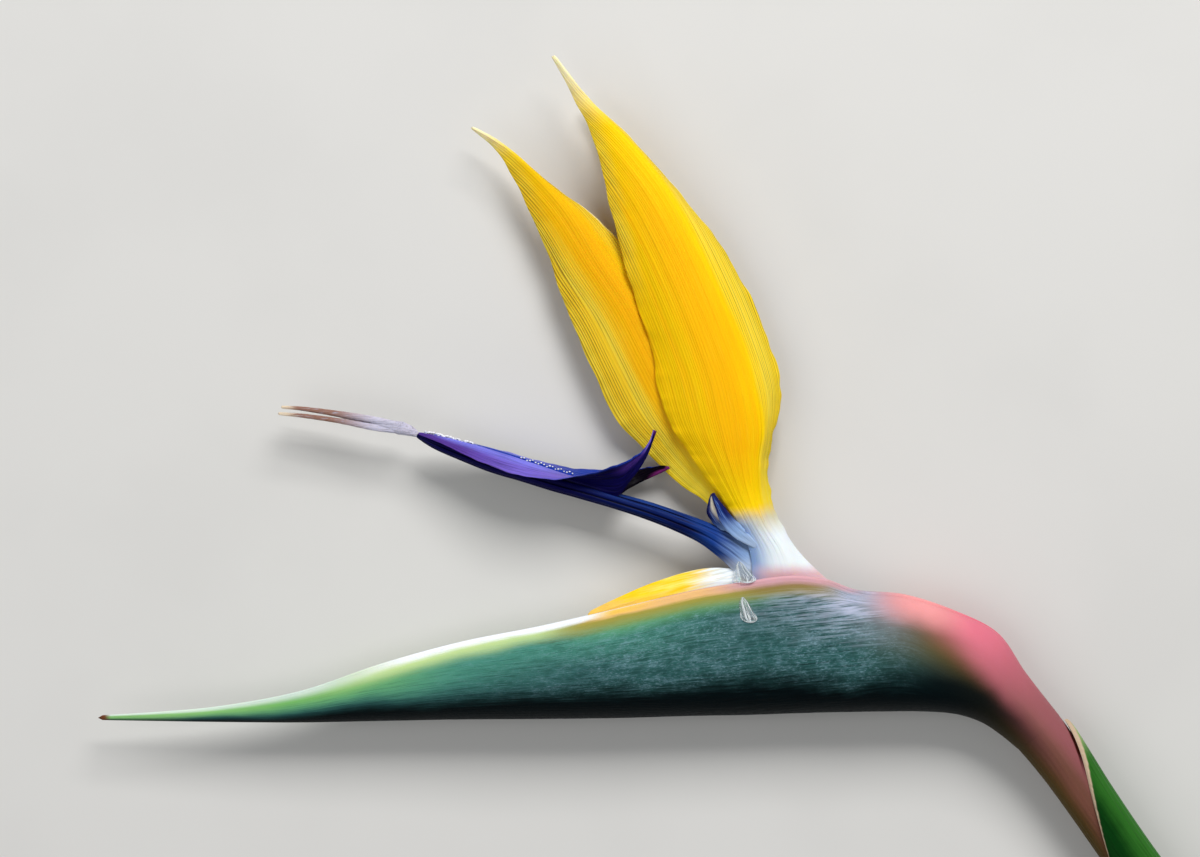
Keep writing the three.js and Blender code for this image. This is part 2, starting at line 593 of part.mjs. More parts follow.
const ovarySpace = aroundOvary(-OVARY_TOP - CLEARANCE, OVARY_TOP + CLEARANCE, CLEARANCE, CLEARANCE);
const [nearSpace, middleSpace, farSpace] = [nearSepal, middleSepal, farSepal].map((shape) =>
  sepal(shape, CLEARANCE),
);
const arrowSpaces = [
  ovarySpace,
  nearSpace,
  middleSpace,
  farSpace,
  hood(CLEARANCE),
  innerBract(CLEARANCE),
  style(CLEARANCE),
  antherStrip(CLEARANCE),
];
const spatheSpaces = [
  ovarySpace,
  aroundOvary(-4, 4, 3.4, 2.5),
  innerBract(CLEARANCE),
  tenon(CLEARANCE),
];

const pieces = [
  ["stem", stem(), STEM_PINK, 0.5],
  ["stem_sheath", sheath(), LEAF_GREEN, 0.5],
  ["spathe", cut(wholeSpathe(), ...spatheSpaces), SPATHE_GREEN, 0.55],
  ["inner_bract", innerBract(0), BRACT_YELLOW, 0.5],
  ["ovary", aroundOvary(-OVARY_TOP, OVARY_TOP, 0, 0), OVARY_WHITE, 0.45],
  ["sepal_near", cut(sepal(nearSepal, 0), ovarySpace), SEPAL_YELLOW, 0.45],
  ["sepal_middle", cut(sepal(middleSepal, 0), ovarySpace, nearSpace), SEPAL_YELLOW, 0.45],
  ["sepal_far", onTable(cut(sepal(farSepal, 0), ovarySpace, middleSpace)), SEPAL_YELLOW, 0.45],
  ["arrow_petal_near", cut(arrowPetal(1, nearFlangeLines), ...arrowSpaces), PETAL_BLUE, 0.45],
  ["arrow_petal_far", cut(arrowPetal(-1, farFlangeLines), ...arrowSpaces), PETAL_BLUE, 0.45],
  ["hood_petal", cut(hood(0), nearSpace, middleSpace), HOOD_BLUE, 0.45],
  ["anthers", anthers(), POLLEN_WHITE, 0.8],
  ["style_and_stigma", cut(styleAndStigma(), ovarySpace), STIGMA_WHITE, 0.5],
];

function meshOf([name, solid, color, roughness]) {
  const { vertProperties, triVerts } = solid.getMesh();
  const geometry = new THREE.BufferGeometry()
    .setAttribute("position", new THREE.BufferAttribute(vertProperties, 3))
    .setIndex(new THREE.BufferAttribute(triVerts, 1));
  geometry.computeVertexNormals();
  const mesh = new THREE.Mesh(geometry, new THREE.MeshStandardMaterial({ color, roughness, metalness: 0 }));
  mesh.name = name;
  return mesh;
}

const flower = new THREE.Group();
flower.add(...pieces.map(meshOf));

// The origin goes under the middle of the whole flower, on the table.
const box = new THREE.Box3().setFromObject(flower);
flower.position.copy(box.getCenter(new THREE.Vector3())).setZ(box.min.z).negate();

export default flower;
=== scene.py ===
"""A cut bird of paradise flower that lies on its side, each piece modelled around its plain solid part.

Pieces are drawn in millimetres from the throat, where the flower leaves its spathe: x towards the stem,
y the way the sepals stand and z out of the side that faces up. Grids of points are then laid over them.
"""

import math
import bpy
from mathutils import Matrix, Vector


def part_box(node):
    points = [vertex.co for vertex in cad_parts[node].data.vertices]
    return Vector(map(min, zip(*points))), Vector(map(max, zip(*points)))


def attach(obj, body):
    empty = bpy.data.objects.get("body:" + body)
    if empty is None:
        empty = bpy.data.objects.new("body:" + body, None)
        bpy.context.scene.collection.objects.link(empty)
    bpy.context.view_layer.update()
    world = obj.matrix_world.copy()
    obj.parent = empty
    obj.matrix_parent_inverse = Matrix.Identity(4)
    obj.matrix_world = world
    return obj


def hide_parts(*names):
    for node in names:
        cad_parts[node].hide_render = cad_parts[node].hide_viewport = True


bl_info = {
    "name": "Bird of Paradise Flower",
    "version": (1, 0, 0),
    "blender": (4, 5, 0),
    "location": "3D View > Sidebar > Flower",
    "description": "Models and dresses a cut bird of paradise flower around its solid parts",
    "category": "Add Mesh",
}

import bmesh
import bpy
import numpy as np
from bpy.props import FloatProperty, FloatVectorProperty, IntProperty, PointerProperty
from mathutils import Matrix, Vector

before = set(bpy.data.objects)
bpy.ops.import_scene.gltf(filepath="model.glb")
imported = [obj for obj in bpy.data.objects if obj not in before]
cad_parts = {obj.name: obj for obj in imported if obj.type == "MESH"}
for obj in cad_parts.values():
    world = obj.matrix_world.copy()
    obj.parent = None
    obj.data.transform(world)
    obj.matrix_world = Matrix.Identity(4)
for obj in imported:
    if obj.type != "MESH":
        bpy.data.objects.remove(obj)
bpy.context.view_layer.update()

MM = 0.001
WELD = 1e-4 * MM  # points nearer than this become one
SHARP_ANGLE = math.radians(50)  # edges that fold more than this stay crisp
BEAK_REACH = 136.4  # from the throat to the tip of the spathe's beak
OVARY_TOP = 8  # above the throat, and as far below it
OVARY_LOW, OVARY_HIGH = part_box("ovary")
THROAT = Vector(
    (
        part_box("spathe")[0].x + BEAK_REACH * MM,
        OVARY_LOW.y + OVARY_TOP * MM,
        (OVARY_LOW.z + OVARY_HIGH.z) / 2,
    )
)
TABLE_Z = -THROAT.z / MM  # the surface that the flower lies on, seen from the throat

# The photograph's frame: its size and the throat's place in pixels, and a pixel's length on the flower
PHOTO_WIDTH, PHOTO_HEIGHT = 1200, 857
THROAT_PIXEL = (780, 576)
PIXEL = 0.2 * MM


# Smooth curves through a few stations


class Track:
    """A smooth curve through stations of [place, value, value, ...]."""

    def __init__(self, *stations):
        table = np.array(stations, dtype=float)
        self.places, self.values = table[:, 0], table[:, 1:]
        rises = np.diff(self.values, axis=0) / np.diff(self.places)[:, None]
        self.slopes = np.concatenate([rises[:1], (rises[1:] + rises[:-1]) / 2, rises[-1:]])

    def __call__(self, place):
        place = np.clip(place, self.places[0], self.places[-1])
        i = np.clip(np.searchsorted(self.places, place, side="right") - 1, 0, len(self.places) - 2)
        width = (self.places[i + 1] - self.places[i])[..., None]
        t = (place - self.places[i])[..., None] / width
        return (
            self.values[i] * (1 + 2 * t) * (1 - t) ** 2
            + self.values[i + 1] * (3 - 2 * t) * t**2
            + self.slopes[i] * width * t * (1 - t) ** 2
            - self.slopes[i + 1] * width * (1 - t) * t**2
        )


def even_track(*stations):
    """A track whose stations are evenly spaced from 0 to 1."""
    return Track(*([i / (len(stations) - 1), *station] for i, station in enumerate(stations)))


def unit(vectors):
    return vectors / np.maximum(np.linalg.norm(vectors, axis=-1, keepdims=True), 1e-12)


def smooth(value, low, high):
    """0 below low, 1 above high, and a soft step between them. Falls where low is the larger."""
    t = np.clip((value - low) / (high - low), 0, 1)
    return t * t * (3 - 2 * t)


def bend(value, width):
    """The value where it is positive and 0 where it is negative, with a soft bend between them."""
    return (value + np.sqrt(value**2 + width**2)) / 2


def points(x, y, z):
    """Rows of x, y and z, each given for every point or once for all."""
    return np.stack(np.broadcast_arrays(x, y, z), axis=-1).astype(float)


def ripple(value, beat, seed=0.0):
    """An uneven wave between about -1 and 1, with the beat as its main period."""
    turn = 2 * np.pi * value / beat
    second = 0.6 * np.sin(1.73 * turn + 2.1 * seed + 1)
    third = 0.4 * np.sin(2.9 * turn + seed)
    return (np.sin(turn + seed) + second + third) / 2


def rounded_ends(along, share):
    """Shrinks a round piece to a point at both of its ends, over that share of its length."""
    inside = np.clip(np.minimum(along, 1 - along) / share, 0, 1)
    return np.sqrt(1 - (1 - inside) ** 2)


# Meshes: a grid whose points a shape places, rolled up and closed where they meet


def grown(rows, columns, shape, finish=0):
    """A closed skin of rows along the piece and columns round it.

    The shape takes the shares along and round the piece and gives the points and their three marks.
    The materials read the marks, which say where on the piece a point is.
    """
    bm = bmesh.new()
    bmesh.ops.create_grid(bm, x_segments=columns, y_segments=rows, size=0.5)
    row, column = np.divmod(np.arange(len(bm.verts)), columns + 1)
    places, marks = shape(row / rows, column / columns)
    places[:, 2] = np.maximum(places[:, 2], TABLE_Z)
    growth = bm.verts.layers.float_vector.new("growth")
    for vert, place, mark in zip(bm.verts, places.tolist(), marks.tolist()):
        vert.co = THROAT + Vector(place) * MM
        vert[growth] = mark
    for face in bm.faces:
        face.material_index = finish
    bmesh.ops.remove_doubles(bm, verts=bm.verts[:], dist=WELD)
    bmesh.ops.recalc_face_normals(bm, faces=bm.faces[:])
    return bm


def joined(*parts):
    """One mesh that holds all the parts' meshes."""
    whole = parts[0]
    for part in parts[1:]:
        spare = bpy.data.meshes.new("part")
        part.to_mesh(spare)
        part.free()
        whole.from_mesh(spare)
        bpy.data.meshes.remove(spare)
    return whole


def add_object(name, data):
    """Puts a mesh, a light or a camera into the scene."""
    thing = bpy.data.objects.new(name, data)
    bpy.context.scene.collection.objects.link(thing)
    return thing


def add_piece(name, bm, finishes, slot, *nodes):
    """Makes the mesh an object that stands for its solid parts and lies where they lie."""
    mesh = bpy.data.meshes.new(name)
    for face in bm.faces:
        face.smooth = True
    bm.to_mesh(mesh)
    bm.free()
    mesh.set_sharp_from_angle(angle=SHARP_ANGLE)
    for finish in finishes:
        mesh.materials.append(finish)
    piece = add_object(name, mesh)
    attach(piece, "root")
    if nodes:
        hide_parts(*nodes)
    return piece


def square(track, place, step):
    """The direction in the flower's plane square to a track's line, to the left of its heading."""
    ahead = track(place + step)[..., :2] - track(place - step)[..., :2]
    return unit(points(-ahead[..., 1], ahead[..., 0], 0.0))


def rod(track, start, end, end_share, relief=None):
    """A round piece along a track of [x, y, z, half-height, half-depth]."""

    def shape(along, around):
        place = start + (end - start) * along
        values = track(place)
        turn = 2 * np.pi * around
        swell = rounded_ends(along, end_share)
        if relief:
            swell = swell * relief(along, turn)
        step = (end - start) / 200
        side = square(track, np.clip(place, start + step, end - step), step)
        up = side * (values[:, 3] * swell * np.cos(turn))[:, None]
        out = points(0.0, 0.0, values[:, 4] * swell * np.sin(turn))
        return values[:, :3] + up + out, points(along, (1 + np.cos(turn)) / 2, swell)

    return shape


def creased(values, across, crease_at, soft):
    """Points of a softly creased blade, from values of [edge x, y, z, crease x, y, z, edge x, y, z]."""
    first, crease, last = values[:, 0:3], values[:, 3:6], values[:, 6:9]
    to_first = bend(crease_at - across, soft) / bend(crease_at, soft)
    to_last = bend(across - crease_at, soft) / bend(1 - crease_at, soft)
    return crease + (first - crease) * to_first[:, None] + (last - crease) * to_last[:, None]


def from_crease(across, crease_at):
    """The share of the way from the crease to the edge."""
    return np.abs(across - crease_at) / np.where(across < crease_at, crease_at, 1 - crease_at)


def blade(middle, half_thickness, marks):
    """A thin blade: over its first face from edge to edge, and back over its second."""

    def shape(along, around):
        across = 1 - np.abs(1 - 2 * around)
        face = np.where(around <= 0.5, 1.0, -1.0)
        step = 2e-3
        ahead = middle(np.minimum(along + step, 1), across) - middle(np.maximum(along - step, 0), across)
        sideways = middle(along, np.minimum(across + step, 1)) - middle(along, np.maximum(across - step, 0))
        rim = np.sqrt(1 - np.abs(2 * across - 1) ** 10) * rounded_ends(along, 0.01)
        lift = face * half_thickness(along, across) * rim
        place = middle(along, across) + unit(np.cross(sideways, ahead)) * lift[:, None]
        return place, marks(along, across, face)

    return shape


# Sizes and colours


def length(name, description, default):
    return FloatProperty(
        name=name, description=description, default=default * MM, min=0.0, subtype="DISTANCE", unit="LENGTH"
    )


def colour(name, description, red, green, blue):
    """A colour picker whose default is given as the eye sees it, from 0 to 255."""
    seen = [channel / 255 for channel in (red, green, blue)]
    light = [c / 12.92 if c <= 0.04045 else ((c + 0.055) / 1.055) ** 2.4 for c in seen]
    return FloatVectorProperty(
        name=name, description=description, default=light, min=0.0, max=1.0, size=3, subtype="COLOR"
    )


class FlowerSizes(bpy.types.PropertyGroup):
    """Sizes that only the looks depend on."""

    sepal_rib: length("Sepal at its crease", "Thickness of a sepal along its crease", 0.9)
    sepal_edge: length("Sepal at its edge", "Thickness of a sepal near its edges", 0.35)
    petal_rib: length("Petal at its fold", "Thickness of a blue petal along its fold", 0.6)
    petal_edge: length("Petal at its edge", "Thickness of a blue petal near its edges", 0.3)
    vein_spacing: length("Vein spacing", "Distance from one vein of a sepal to the next", 0.55)
    fold_depth: length("Fold depth", "How far a sepal's soft folds stand out", 0.06)
    lip: length("Lip", "Thickness of the spathe's lips", 1.1)
    streak_spacing: length("Streak spacing", "Distance between the spathe's raised fibres", 0.8)
    streak_depth: length("Streak depth", "How far the spathe's fibres stand out", 0.012)
    sheath: length("Sheath", "Thickness of the sheath leaf", 0.7)
    pollen_size: length("Pollen clump", "Radius of the larger pollen clumps", 0.34)
    pollen_clumps: IntProperty(
        name="Pollen clumps", description="Number of pollen clumps on the anthers", default=90, min=1
    )


class FlowerColours(bpy.types.PropertyGroup):
    """Colours of the flower's skins."""

    spathe_teal: colour("Spathe teal", "Middle of the spathe's flank", 44, 88, 86)
    spathe_green: colour("Spathe green", "Upper part of the spathe's flank", 68, 134, 116)
    beak_green: colour("Beak green", "The spathe's slender beak", 114, 176, 96)
    # Keel: painted shade, the nearly black keel and lower flank of the spathe and the inner side of the
    # bend
    keel_painted_shade: colour("Keel", "The spathe's shaded keel", 3, 14, 17)
    bloom_grey: colour("Bloom", "Waxy bloom on the spathe", 128, 162, 176)
    bloom_lilac: colour("Lilac bloom", "Bloom behind the throat", 188, 192, 216)
    # Rim: the spathe's pale rim, partly a painted highlight along its edge, and the painted highlight over
    # the beak's upper part
    rim_white_and_highlight: colour("Rim", "The spathe's pale rim", 246, 249, 255)
    rim_lime: colour("Below the rim", "Yellow green just below the rim", 200, 222, 150)
    lip_salmon: colour("Salmon lip", "The lip in front of the throat", 234, 186, 124)
    lip_pink: colour("Pink lip", "The lip at the throat", 210, 160, 168)
    lip_gold: colour("Golden edge", "Just below the lips", 164, 148, 58)
    lip_brown: colour("Brown edge", "Below the pink lip", 132, 106, 62)
    rose_pale: colour("Pale rose", "Where the rose begins behind the throat", 238, 156, 156)
    olive: colour("Olive", "Where rose or orange turns green", 96, 76, 28)
    rose: colour("Rose", "Top of the bend", 218, 113, 132)
    dusky_rose: colour("Dusky rose", "The stem below the bend", 146, 87, 90)
    beak_tip: colour("Beak's end", "The beak's last third", 142, 196, 120)
    beak_brown: colour("Dry tip", "The beak's dry tip", 116, 68, 44)
    pith: colour("Pith", "The cut across the stem", 214, 214, 160)
    # Scar: a dry line and painted contact shadow beside the sheath's point, and the spots at the stigma's
    # foot
    scar_and_shadow: colour("Scar", "The dry line beside the sheath's point", 48, 14, 6)
    leaf_green: colour("Sheath green", "The sheath leaf", 46, 106, 34)
    leaf_dark: colour("Sheath shade", "The sheath leaf's darker middle", 4, 54, 10)
    leaf_margin: colour("Sheath margin", "The sheath's papery margin", 190, 168, 142)
    bract_yellow: colour("Bract yellow", "The inner bract", 252, 208, 28)
    bract_pale: colour("Bract pale", "The inner bract's paler streaks", 252, 232, 120)
    neck_grey: colour("Neck", "Where the sepals' yellow turns white", 194, 192, 176)
    tissue_white: colour("White tissue", "White bases of the flower's parts", 234, 240, 242)
    gold: colour("Gold", "The sepals' broad faces", 255, 207, 0)
    orange: colour("Orange", "The sepals' warm streaks", 255, 185, 0)
    straw: colour("Straw", "The sepals' veined wings", 250, 216, 62)
    vein: colour("Vein", "The sepals' veins", 128, 98, 22)
    # Sepal tip: the sepals' pale tips, and a painted highlight along the right edge towards the tip
    pale_tip_and_edge_highlight: colour("Sepal tip", "The sepals' pale tips", 255, 246, 214)
    claw_blue: colour("Claw blue", "The claw's ridges", 4, 24, 84)
    # Claw's lower ridges: lighter streaks, partly a painted highlight along the claw's lower side
    claw_mid: colour("Claw's lower ridges", "The claw's lower side and the start of its foot", 24, 60, 134)
    # Claw grooves: painted shade in the claw's grooves, and the petals' dark streaks
    claw_dark: colour("Claw grooves", "The claw's grooves", 4, 4, 40)
    claw_pale: colour("Claw's foot", "The claw where it turns pale", 138, 168, 210)
    inner_violet: colour("Violet", "Inside of the near petal", 84, 54, 146)
    inner_lilac: colour("Lilac", "Inside of the near petal towards its point", 116, 98, 200)
    inner_blue: colour("Inner blue", "Inside of the petals towards the barbs", 32, 60, 164)
    lavender: colour("Lavender", "Inside of the near petal beside the anthers", 124, 126, 230)
    barb_dark: colour("Far barb", "The far petal's barb", 4, 0, 10)
    indigo: colour("Indigo", "Outside of the blue petals", 9, 5, 72)
    magenta: colour("Magenta", "The barbs' very tips", 118, 36, 106)
    hood_blue: colour("Hood blue", "The hood petal", 18, 24, 84)
    hood_streak: colour("Hood streak", "Pale streaks of the hood petal", 130, 152, 196)
    hood_cream: colour("Hood cream", "Inside of the hood petal", 226, 216, 196)
    pollen: colour("Pollen", "Pollen on the anthers", 246, 246, 252)
    stigma_lilac: colour("Stigma", "The stigma's foot", 196, 192, 210)
    stigma_tan: colour("Stigma tan", "The stigma's arms", 144, 108, 94)
    stigma_cream: colour("Stigma tips", "The stigma's tips", 226, 208, 182)
    floor: colour("Floor", "The surface that the flower lies on", 213, 211, 207)


def sizes():
    return bpy.context.scene.flower_sizes


def colours():
    return bpy.context.scene.flower_colours


# Materials: layers of colour, each laid over the last by a mask


class Signal:
    """A number that varies over a surface, with the arithmetic that combines it with others."""

    def __init__(self, tree, socket):
        self.tree, self.socket = tree, socket

    def math(self, operation, *others):
        node = self.tree.nodes.new("ShaderNodeMath")
        node.operation = operation
        for entry, value in zip(node.inputs, (self, *others)):
            plug(self.tree, value, entry)
        return Signal(self.tree, node.outputs[0])

    def __add__(self, other):
        return self.math("ADD", other)

    def __sub__(self, other):
        return self.math("SUBTRACT", other)

    def __mul__(self, other):
        return self.math("MULTIPLY", other)

    def above(self, low, high):
        """0 below low, 1 above high, and a soft step between them. Falls where low is the larger."""
        node = self.tree.nodes.new("ShaderNodeMapRange")
        node.interpolation_type = "SMOOTHSTEP"
        plug(self.tree, self, node.inputs["Value"])
        plug(self.tree, low, node.inputs["From Min"])
        plug(self.tree, high, node.inputs["From Max"])
        return Signal(self.tree, node.outputs[0])

    def within(self, start, full, fade, end):
        """A soft window: it opens from start to full and closes from fade to end."""
        return self.above(start, full) * self.above(end, fade)


def plug(tree, value, entry):
    """Feeds a signal or a plain value into a node."""
    if isinstance(value, Signal):
        tree.links.new(value.socket, entry)
    else:
        entry.default_value = value


class Finish:
    """One material. Its skin colour is built up in layers, and its grain becomes a bump."""

    def __init__(self, name, roughness, **sockets):
        self.material = bpy.data.materials.new(name)
        self.material.use_nodes = True
        self.tree = self.material.node_tree
        self.shader = self.tree.nodes["Principled BSDF"]
        self.shader.inputs["Roughness"].default_value = roughness
        for socket, value in sockets.items():
            self.shader.inputs[socket.replace("_", " ")].default_value = value
        coordinates = self.tree.nodes.new("ShaderNodeTexCoord")
        scale = self.tree.nodes.new("ShaderNodeVectorMath")
        scale.operation = "MULTIPLY_ADD"
        scale.inputs[1].default_value = (1 / MM, 1 / MM, 1 / MM)
        scale.inputs[2].default_value = -THROAT / MM
        self.tree.links.new(coordinates.outputs["Object"], scale.inputs[0])
        growth = self.tree.nodes.new("ShaderNodeAttribute")
        growth.attribute_name = "growth"
        self.x, self.y, self.z = self.parts(scale.outputs[0])
        self.marks = self.parts(growth.outputs["Vector"])
        self.skin = None

    def parts(self, vector):
        node = self.tree.nodes.new("ShaderNodeSeparateXYZ")
        self.tree.links.new(vector, node.inputs[0])
        return [Signal(self.tree, output) for output in node.outputs]

    def noise(self, *values, detail=2.0, roughness=0.5):
        """Cloudy noise from 0 to 1 at a place made of three signals."""
        place = self.tree.nodes.new("ShaderNodeCombineXYZ")
        for entry, value in zip(place.inputs, values):
            plug(self.tree, value, entry)
        node = self.tree.nodes.new("ShaderNodeTexNoise")
        node.inputs["Scale"].default_value = 1.0
        node.inputs["Detail"].default_value = detail
        node.inputs["Roughness"].default_value = roughness
        self.tree.links.new(place.outputs[0], node.inputs["Vector"])
        return Signal(self.tree, node.outputs["Fac"])

    def mottle(self, x, y, z, detail=3.0):
        """Noise that stays in its place, with that many patches to a millimetre along each axis."""
        return self.noise(self.x * x, self.y * y, self.z * z, detail=detail)

    def lay(self, shade, mask=1.0, blend="MIX"):
        """Lays a colour over the ones below it as far as the mask says."""
        if self.skin is None:
            self.skin = (*shade, 1)
            return
        node = self.tree.nodes.new("ShaderNodeMix")
        node.data_type = "RGBA"
        node.blend_type = blend
        plug(self.tree, mask, node.inputs[0])
        plug(self.tree, self.skin, node.inputs[6])
        node.inputs[7].default_value = (*shade, 1)
        self.skin = Signal(self.tree, node.outputs[2])

    def darken(self, amount, mask):
        """Multiplies the colours below by the amount as far as the mask says."""
        self.lay((amount, amount, amount), mask, "MULTIPLY")

    def bump(self, height, distance):
        node = self.tree.nodes.new("ShaderNodeBump")
        node.inputs["Distance"].default_value = distance * MM
        plug(self.tree, height, node.inputs["Height"])
        self.tree.links.new(node.outputs[0], self.shader.inputs["Normal"])

    def roughen(self, value):
        plug(self.tree, value, self.shader.inputs["Roughness"])

    def done(self):
        plug(self.tree, self.skin, self.shader.inputs["Base Color"])
        return self.material


# Fresh tissue hardly shines, and some light goes into it.
SOFT = {
    "Subsurface_Weight": 0.12,
    "Subsurface_Scale": 1.2 * MM,
    "Subsurface_Radius": (1.0, 0.7, 0.4),
    "Specular_IOR_Level": 0.05,
}


# The stem and the spathe: the stem's upper end grows into a folded, boat-shaped bract with two parted lips

# [distance below the spathe's base, x, y, z, radius in the flower's plane, radius along Z]
stem_at = Track(
    [-12, 41.2, -20.8, 0, 5.4, 5.6],
    [0, 49.7, -28.9, 0, 5.4, 5.6],
    [9, 55.6, -36.2, 0, 5.0, 5.2],
    [20, 61.8, -45.2, -0.1, 4.6, 4.8],
    [33, 69.4, -56.2, -0.4, 4.5, 4.6],
    [60, 85.4, -77.9, -1.4, 4.6, 4.6],
    [108, 113.5, -116.6, -3.0, 4.8, 4.8],
)
STEM_LENGTH = 96  # from the spathe's base to the cut
STEM_SPARE = 10  # drawn past the cut, for the knife to take off
CUT_SLANT = math.radians(24)
CUT_RIM, CUT_SLOPE, CUT_SINK = 0.5, 0.8, 0.15  # widths of its rim and slope, and how far the pith sinks
CLEARANCE = 0.3  # between neighbouring parts
LAP = 3.0  # how far the spathe's end runs down over the stem
SHEATH_TIP = 4.1  # how far below the spathe's base the sheath's point starts
SHEATH_RISE = 40  # from the sheath's point down to the lowest place of its slanting rim

# [top x, y, bottom x, y, half-width, half-width at the lips, roundness, depth of the fold]
spathe_at = even_track(
    [-136.4, -27.9, -136.4, -28.8, 0.4, 0.3, 0.5, 0.1],
    [-125, -27.2, -125, -29.0, 1.1, 0.6, 0.3, 0.3],
    [-112, -26.0, -112, -29.2, 2.0, 0.8, 0.2, 0.6],
    [-96, -23.0, -96, -29.3, 3.4, 0.9, 0, 1.0],
    [-80, -17.6, -80, -29.0, 5.0, 1.0, 0, 1.4],
    [-64, -13.2, -64, -28.7, 6.4, 1.2, 0, 1.6],
    [-48, -10.0, -48, -28.6, 7.4, 1.5, 0, 1.8],
    [-32, -6.3, -32, -28.4, 8.0, 2.4, 0, 3.4],
    [-18, -2.9, -18, -28.0, 8.4, 3.6, 0, 5.0],
    [-7, -1.0, -7, -27.8, 8.6, 5.4, 0, 8.0],
    [2, 0.2, 2, -27.5, 8.6, 6.2, 0, 9.4],
    [9, -0.6, 8.6, -27.3, 8.6, 5.0, 0.1, 7.6],
    [15.5, -2.8, 14, -27.2, 8.5, 3.2, 0.3, 2.6],
    [25, -3.7, 21, -27.1, 8.2, 2.6, 0.6, 0.8],
    [35, -6.9, 29, -27.1, 7.6, 1.6, 0.9, 0.4],
    [43.6, -11.4, 36, -27.8, 6.9, 0.5, 1, 0.2],
    [49.2, -19.4, 42, -30.2, 6.2, 0.3, 1, 0.1],
    [55.4, -27.4, 48, -34.9, 5.6, 0.2, 1, 0.1],
)
BELLY = 0.45  # how high up its flank the spathe is widest
TALLEST = 27  # the spathe's height at the throat
OUTSIDE, CREST = 0.86, 0.91  # shares of the skin's columns at which the flank and the lip end


def flank(height, roundness, lip):
    """How far the flank stands out at a share of its height, as a share of the half-width."""
    under = np.sqrt(np.clip(1 - (1 - height / BELLY) ** 2, 0, 1))
    above = np.clip((height - BELLY) / (1 - BELLY), 0, 1)
    boat = 1 - (1 - lip) * above**1.9
    curved = lip + (1 - lip) * np.sqrt(1 - above**2)
    return np.where(height < BELLY, under, boat + (curved - boat) * roundness)


def stem_ring(place, turn, extra):
    """Points round the stem, from its outer side at turn 0 to its inner side half a turn on."""
    values = stem_at(place)
    up = square(stem_at, place, 0.5) * ((values[:, 3] + extra) * np.cos(turn))[:, None]
    return values[:, :3] + up + points(0.0, 0.0, (values[:, 4] + extra) * np.sin(turn))


def spathe_shape(along, around):
    values = spathe_at(along)
    top, bottom = points(values[:, 0], values[:, 1], 0.0), points(values[:, 2], values[:, 3], 0.0)
    half, lips, roundness, fold = values[:, 4:8].T
    side = np.where(around < 0.5, 1.0, -1.0)
    column = 1 - np.abs(1 - 2 * around)
    lip = np.minimum(sizes().lip / MM, 0.55 * lips)
    drawn = np.clip(column / OUTSIDE, 0, 1)
    height = (1 - np.cos(np.pi * drawn)) / 2
    over = np.pi * np.clip((column - OUTSIDE) / (CREST - OUTSIDE), 0, 1)
    inside = np.pi / 2 * np.clip((column - CREST) / (1 - CREST), 0, 1)
    tall = np.linalg.norm(top - bottom, axis=1)
    down = (bottom - top) / tall[:, None]
    drop = lip / 2 * (1 - np.sin(over)) + fold * np.sin(inside)
    rise = height * (1 - lip / 2 / tall)
    outer = column <= OUTSIDE
    over_lip = lips - lip / 2 * (1 - np.cos(over))
    fold_wall = (lips - lip) * np.cos(inside) ** 0.6
    out = np.where(column <= CREST, over_lip, fold_wall)
    out = np.where(outer, half * flank(height, roundness, lips / half), out)
    streaks = 2 * np.pi * height * TALLEST * MM / sizes().streak_spacing
    fibres = np.sin(streaks + 2 * ripple(values[:, 0], 43)) ** 3
    worn = 0.5 + 0.5 * ripple(values[:, 0], 17, 1.3) * ripple(height * TALLEST, 3.1, 0.4)
    body = smooth(height, 0.02, 0.1) * smooth(height, 0.98, 0.92) * smooth(half, 2, 5) * outer
    out = out + sizes().streak_depth / MM * fibres * worn * body
    place = np.where(outer[:, None], bottom + (top - bottom) * rise[:, None], top + down * drop[:, None])
    place = place + points(0.0, 0.0, out * side)
    # The beak shrinks to its tip, and the base turns into the stem.
    middle = (top + bottom) / 2
    place = middle + (place - middle) * np.sqrt(1 - (1 - np.clip(along / 0.004, 0, 1)) ** 2)[:, None]
    turn = np.pi * (1 - drawn) * side
    handover = smooth(along, 0.93, 0.995)[:, None]
    place = place + (stem_ring(np.full_like(along, LAP), turn, 0.03) - place) * handover
    place = np.where((along == 1)[:, None], stem_at(np.full_like(along, LAP))[:, :3], place)
    below_rim = np.where(outer, (1 - height) * tall, -lip / 2 * over - fold * np.sin(inside))
    return place, points(height, below_rim, along)


def flank_at(x, y):
    """How far out the spathe's flank is at a place in front of the bend."""
    shares = np.linspace(0, 0.7, 400)
    values = spathe_at(np.interp(x, spathe_at(shares)[:, 0], shares))
    height = (y - values[..., 3]) / (values[..., 1] - values[..., 3])
    return values[..., 4] * flank(np.clip(height, 0, 1), values[..., 6], values[..., 5] / values[..., 4])


def lay_bloom(skin, level, cloud, fibre, speck, blotch, clear):
    """Waxy bloom: grey on the flank and lilac behind the throat, rubbed off along the fibres."""
    c = colours()
    x = skin.x
    bloomed = x.within(-84, -30, 18, 32) * level.within(0.16, 0.4, 0.82, 0.98)
    bloomed = bloomed * (cloud.above(0.3, 0.56) * 0.6 + 0.5)
    skin.lay(c.bloom_grey, bloomed * blotch.above(0.5, 0.75) * 0.25)
    skin.lay(c.bloom_grey, bloomed * speck.above(0.47, 0.75) * blotch.above(0.34, 0.56) * 0.7)
    skin.lay(c.bloom_grey, bloomed * fibre.above(0.5, 0.8) * 0.35)
    lilac = x.within(-16, 14, 20, 34) * level.above(0.48, 0.95)
    streaked = (fibre.above(0.36, 0.6) * clear).math("MAXIMUM", x.above(8, 24) * 0.7)
    skin.lay(c.bloom_lilac, lilac * (streaked * 0.65 + level.above(0.76, 1.0) * 0.35))
    worn = x.within(-6, 6, 10, 26) * level.within(0.2, 0.5, 0.9, 1.0)
    skin.darken(0.6, fibre.above(0.42, 0.3) * worn)


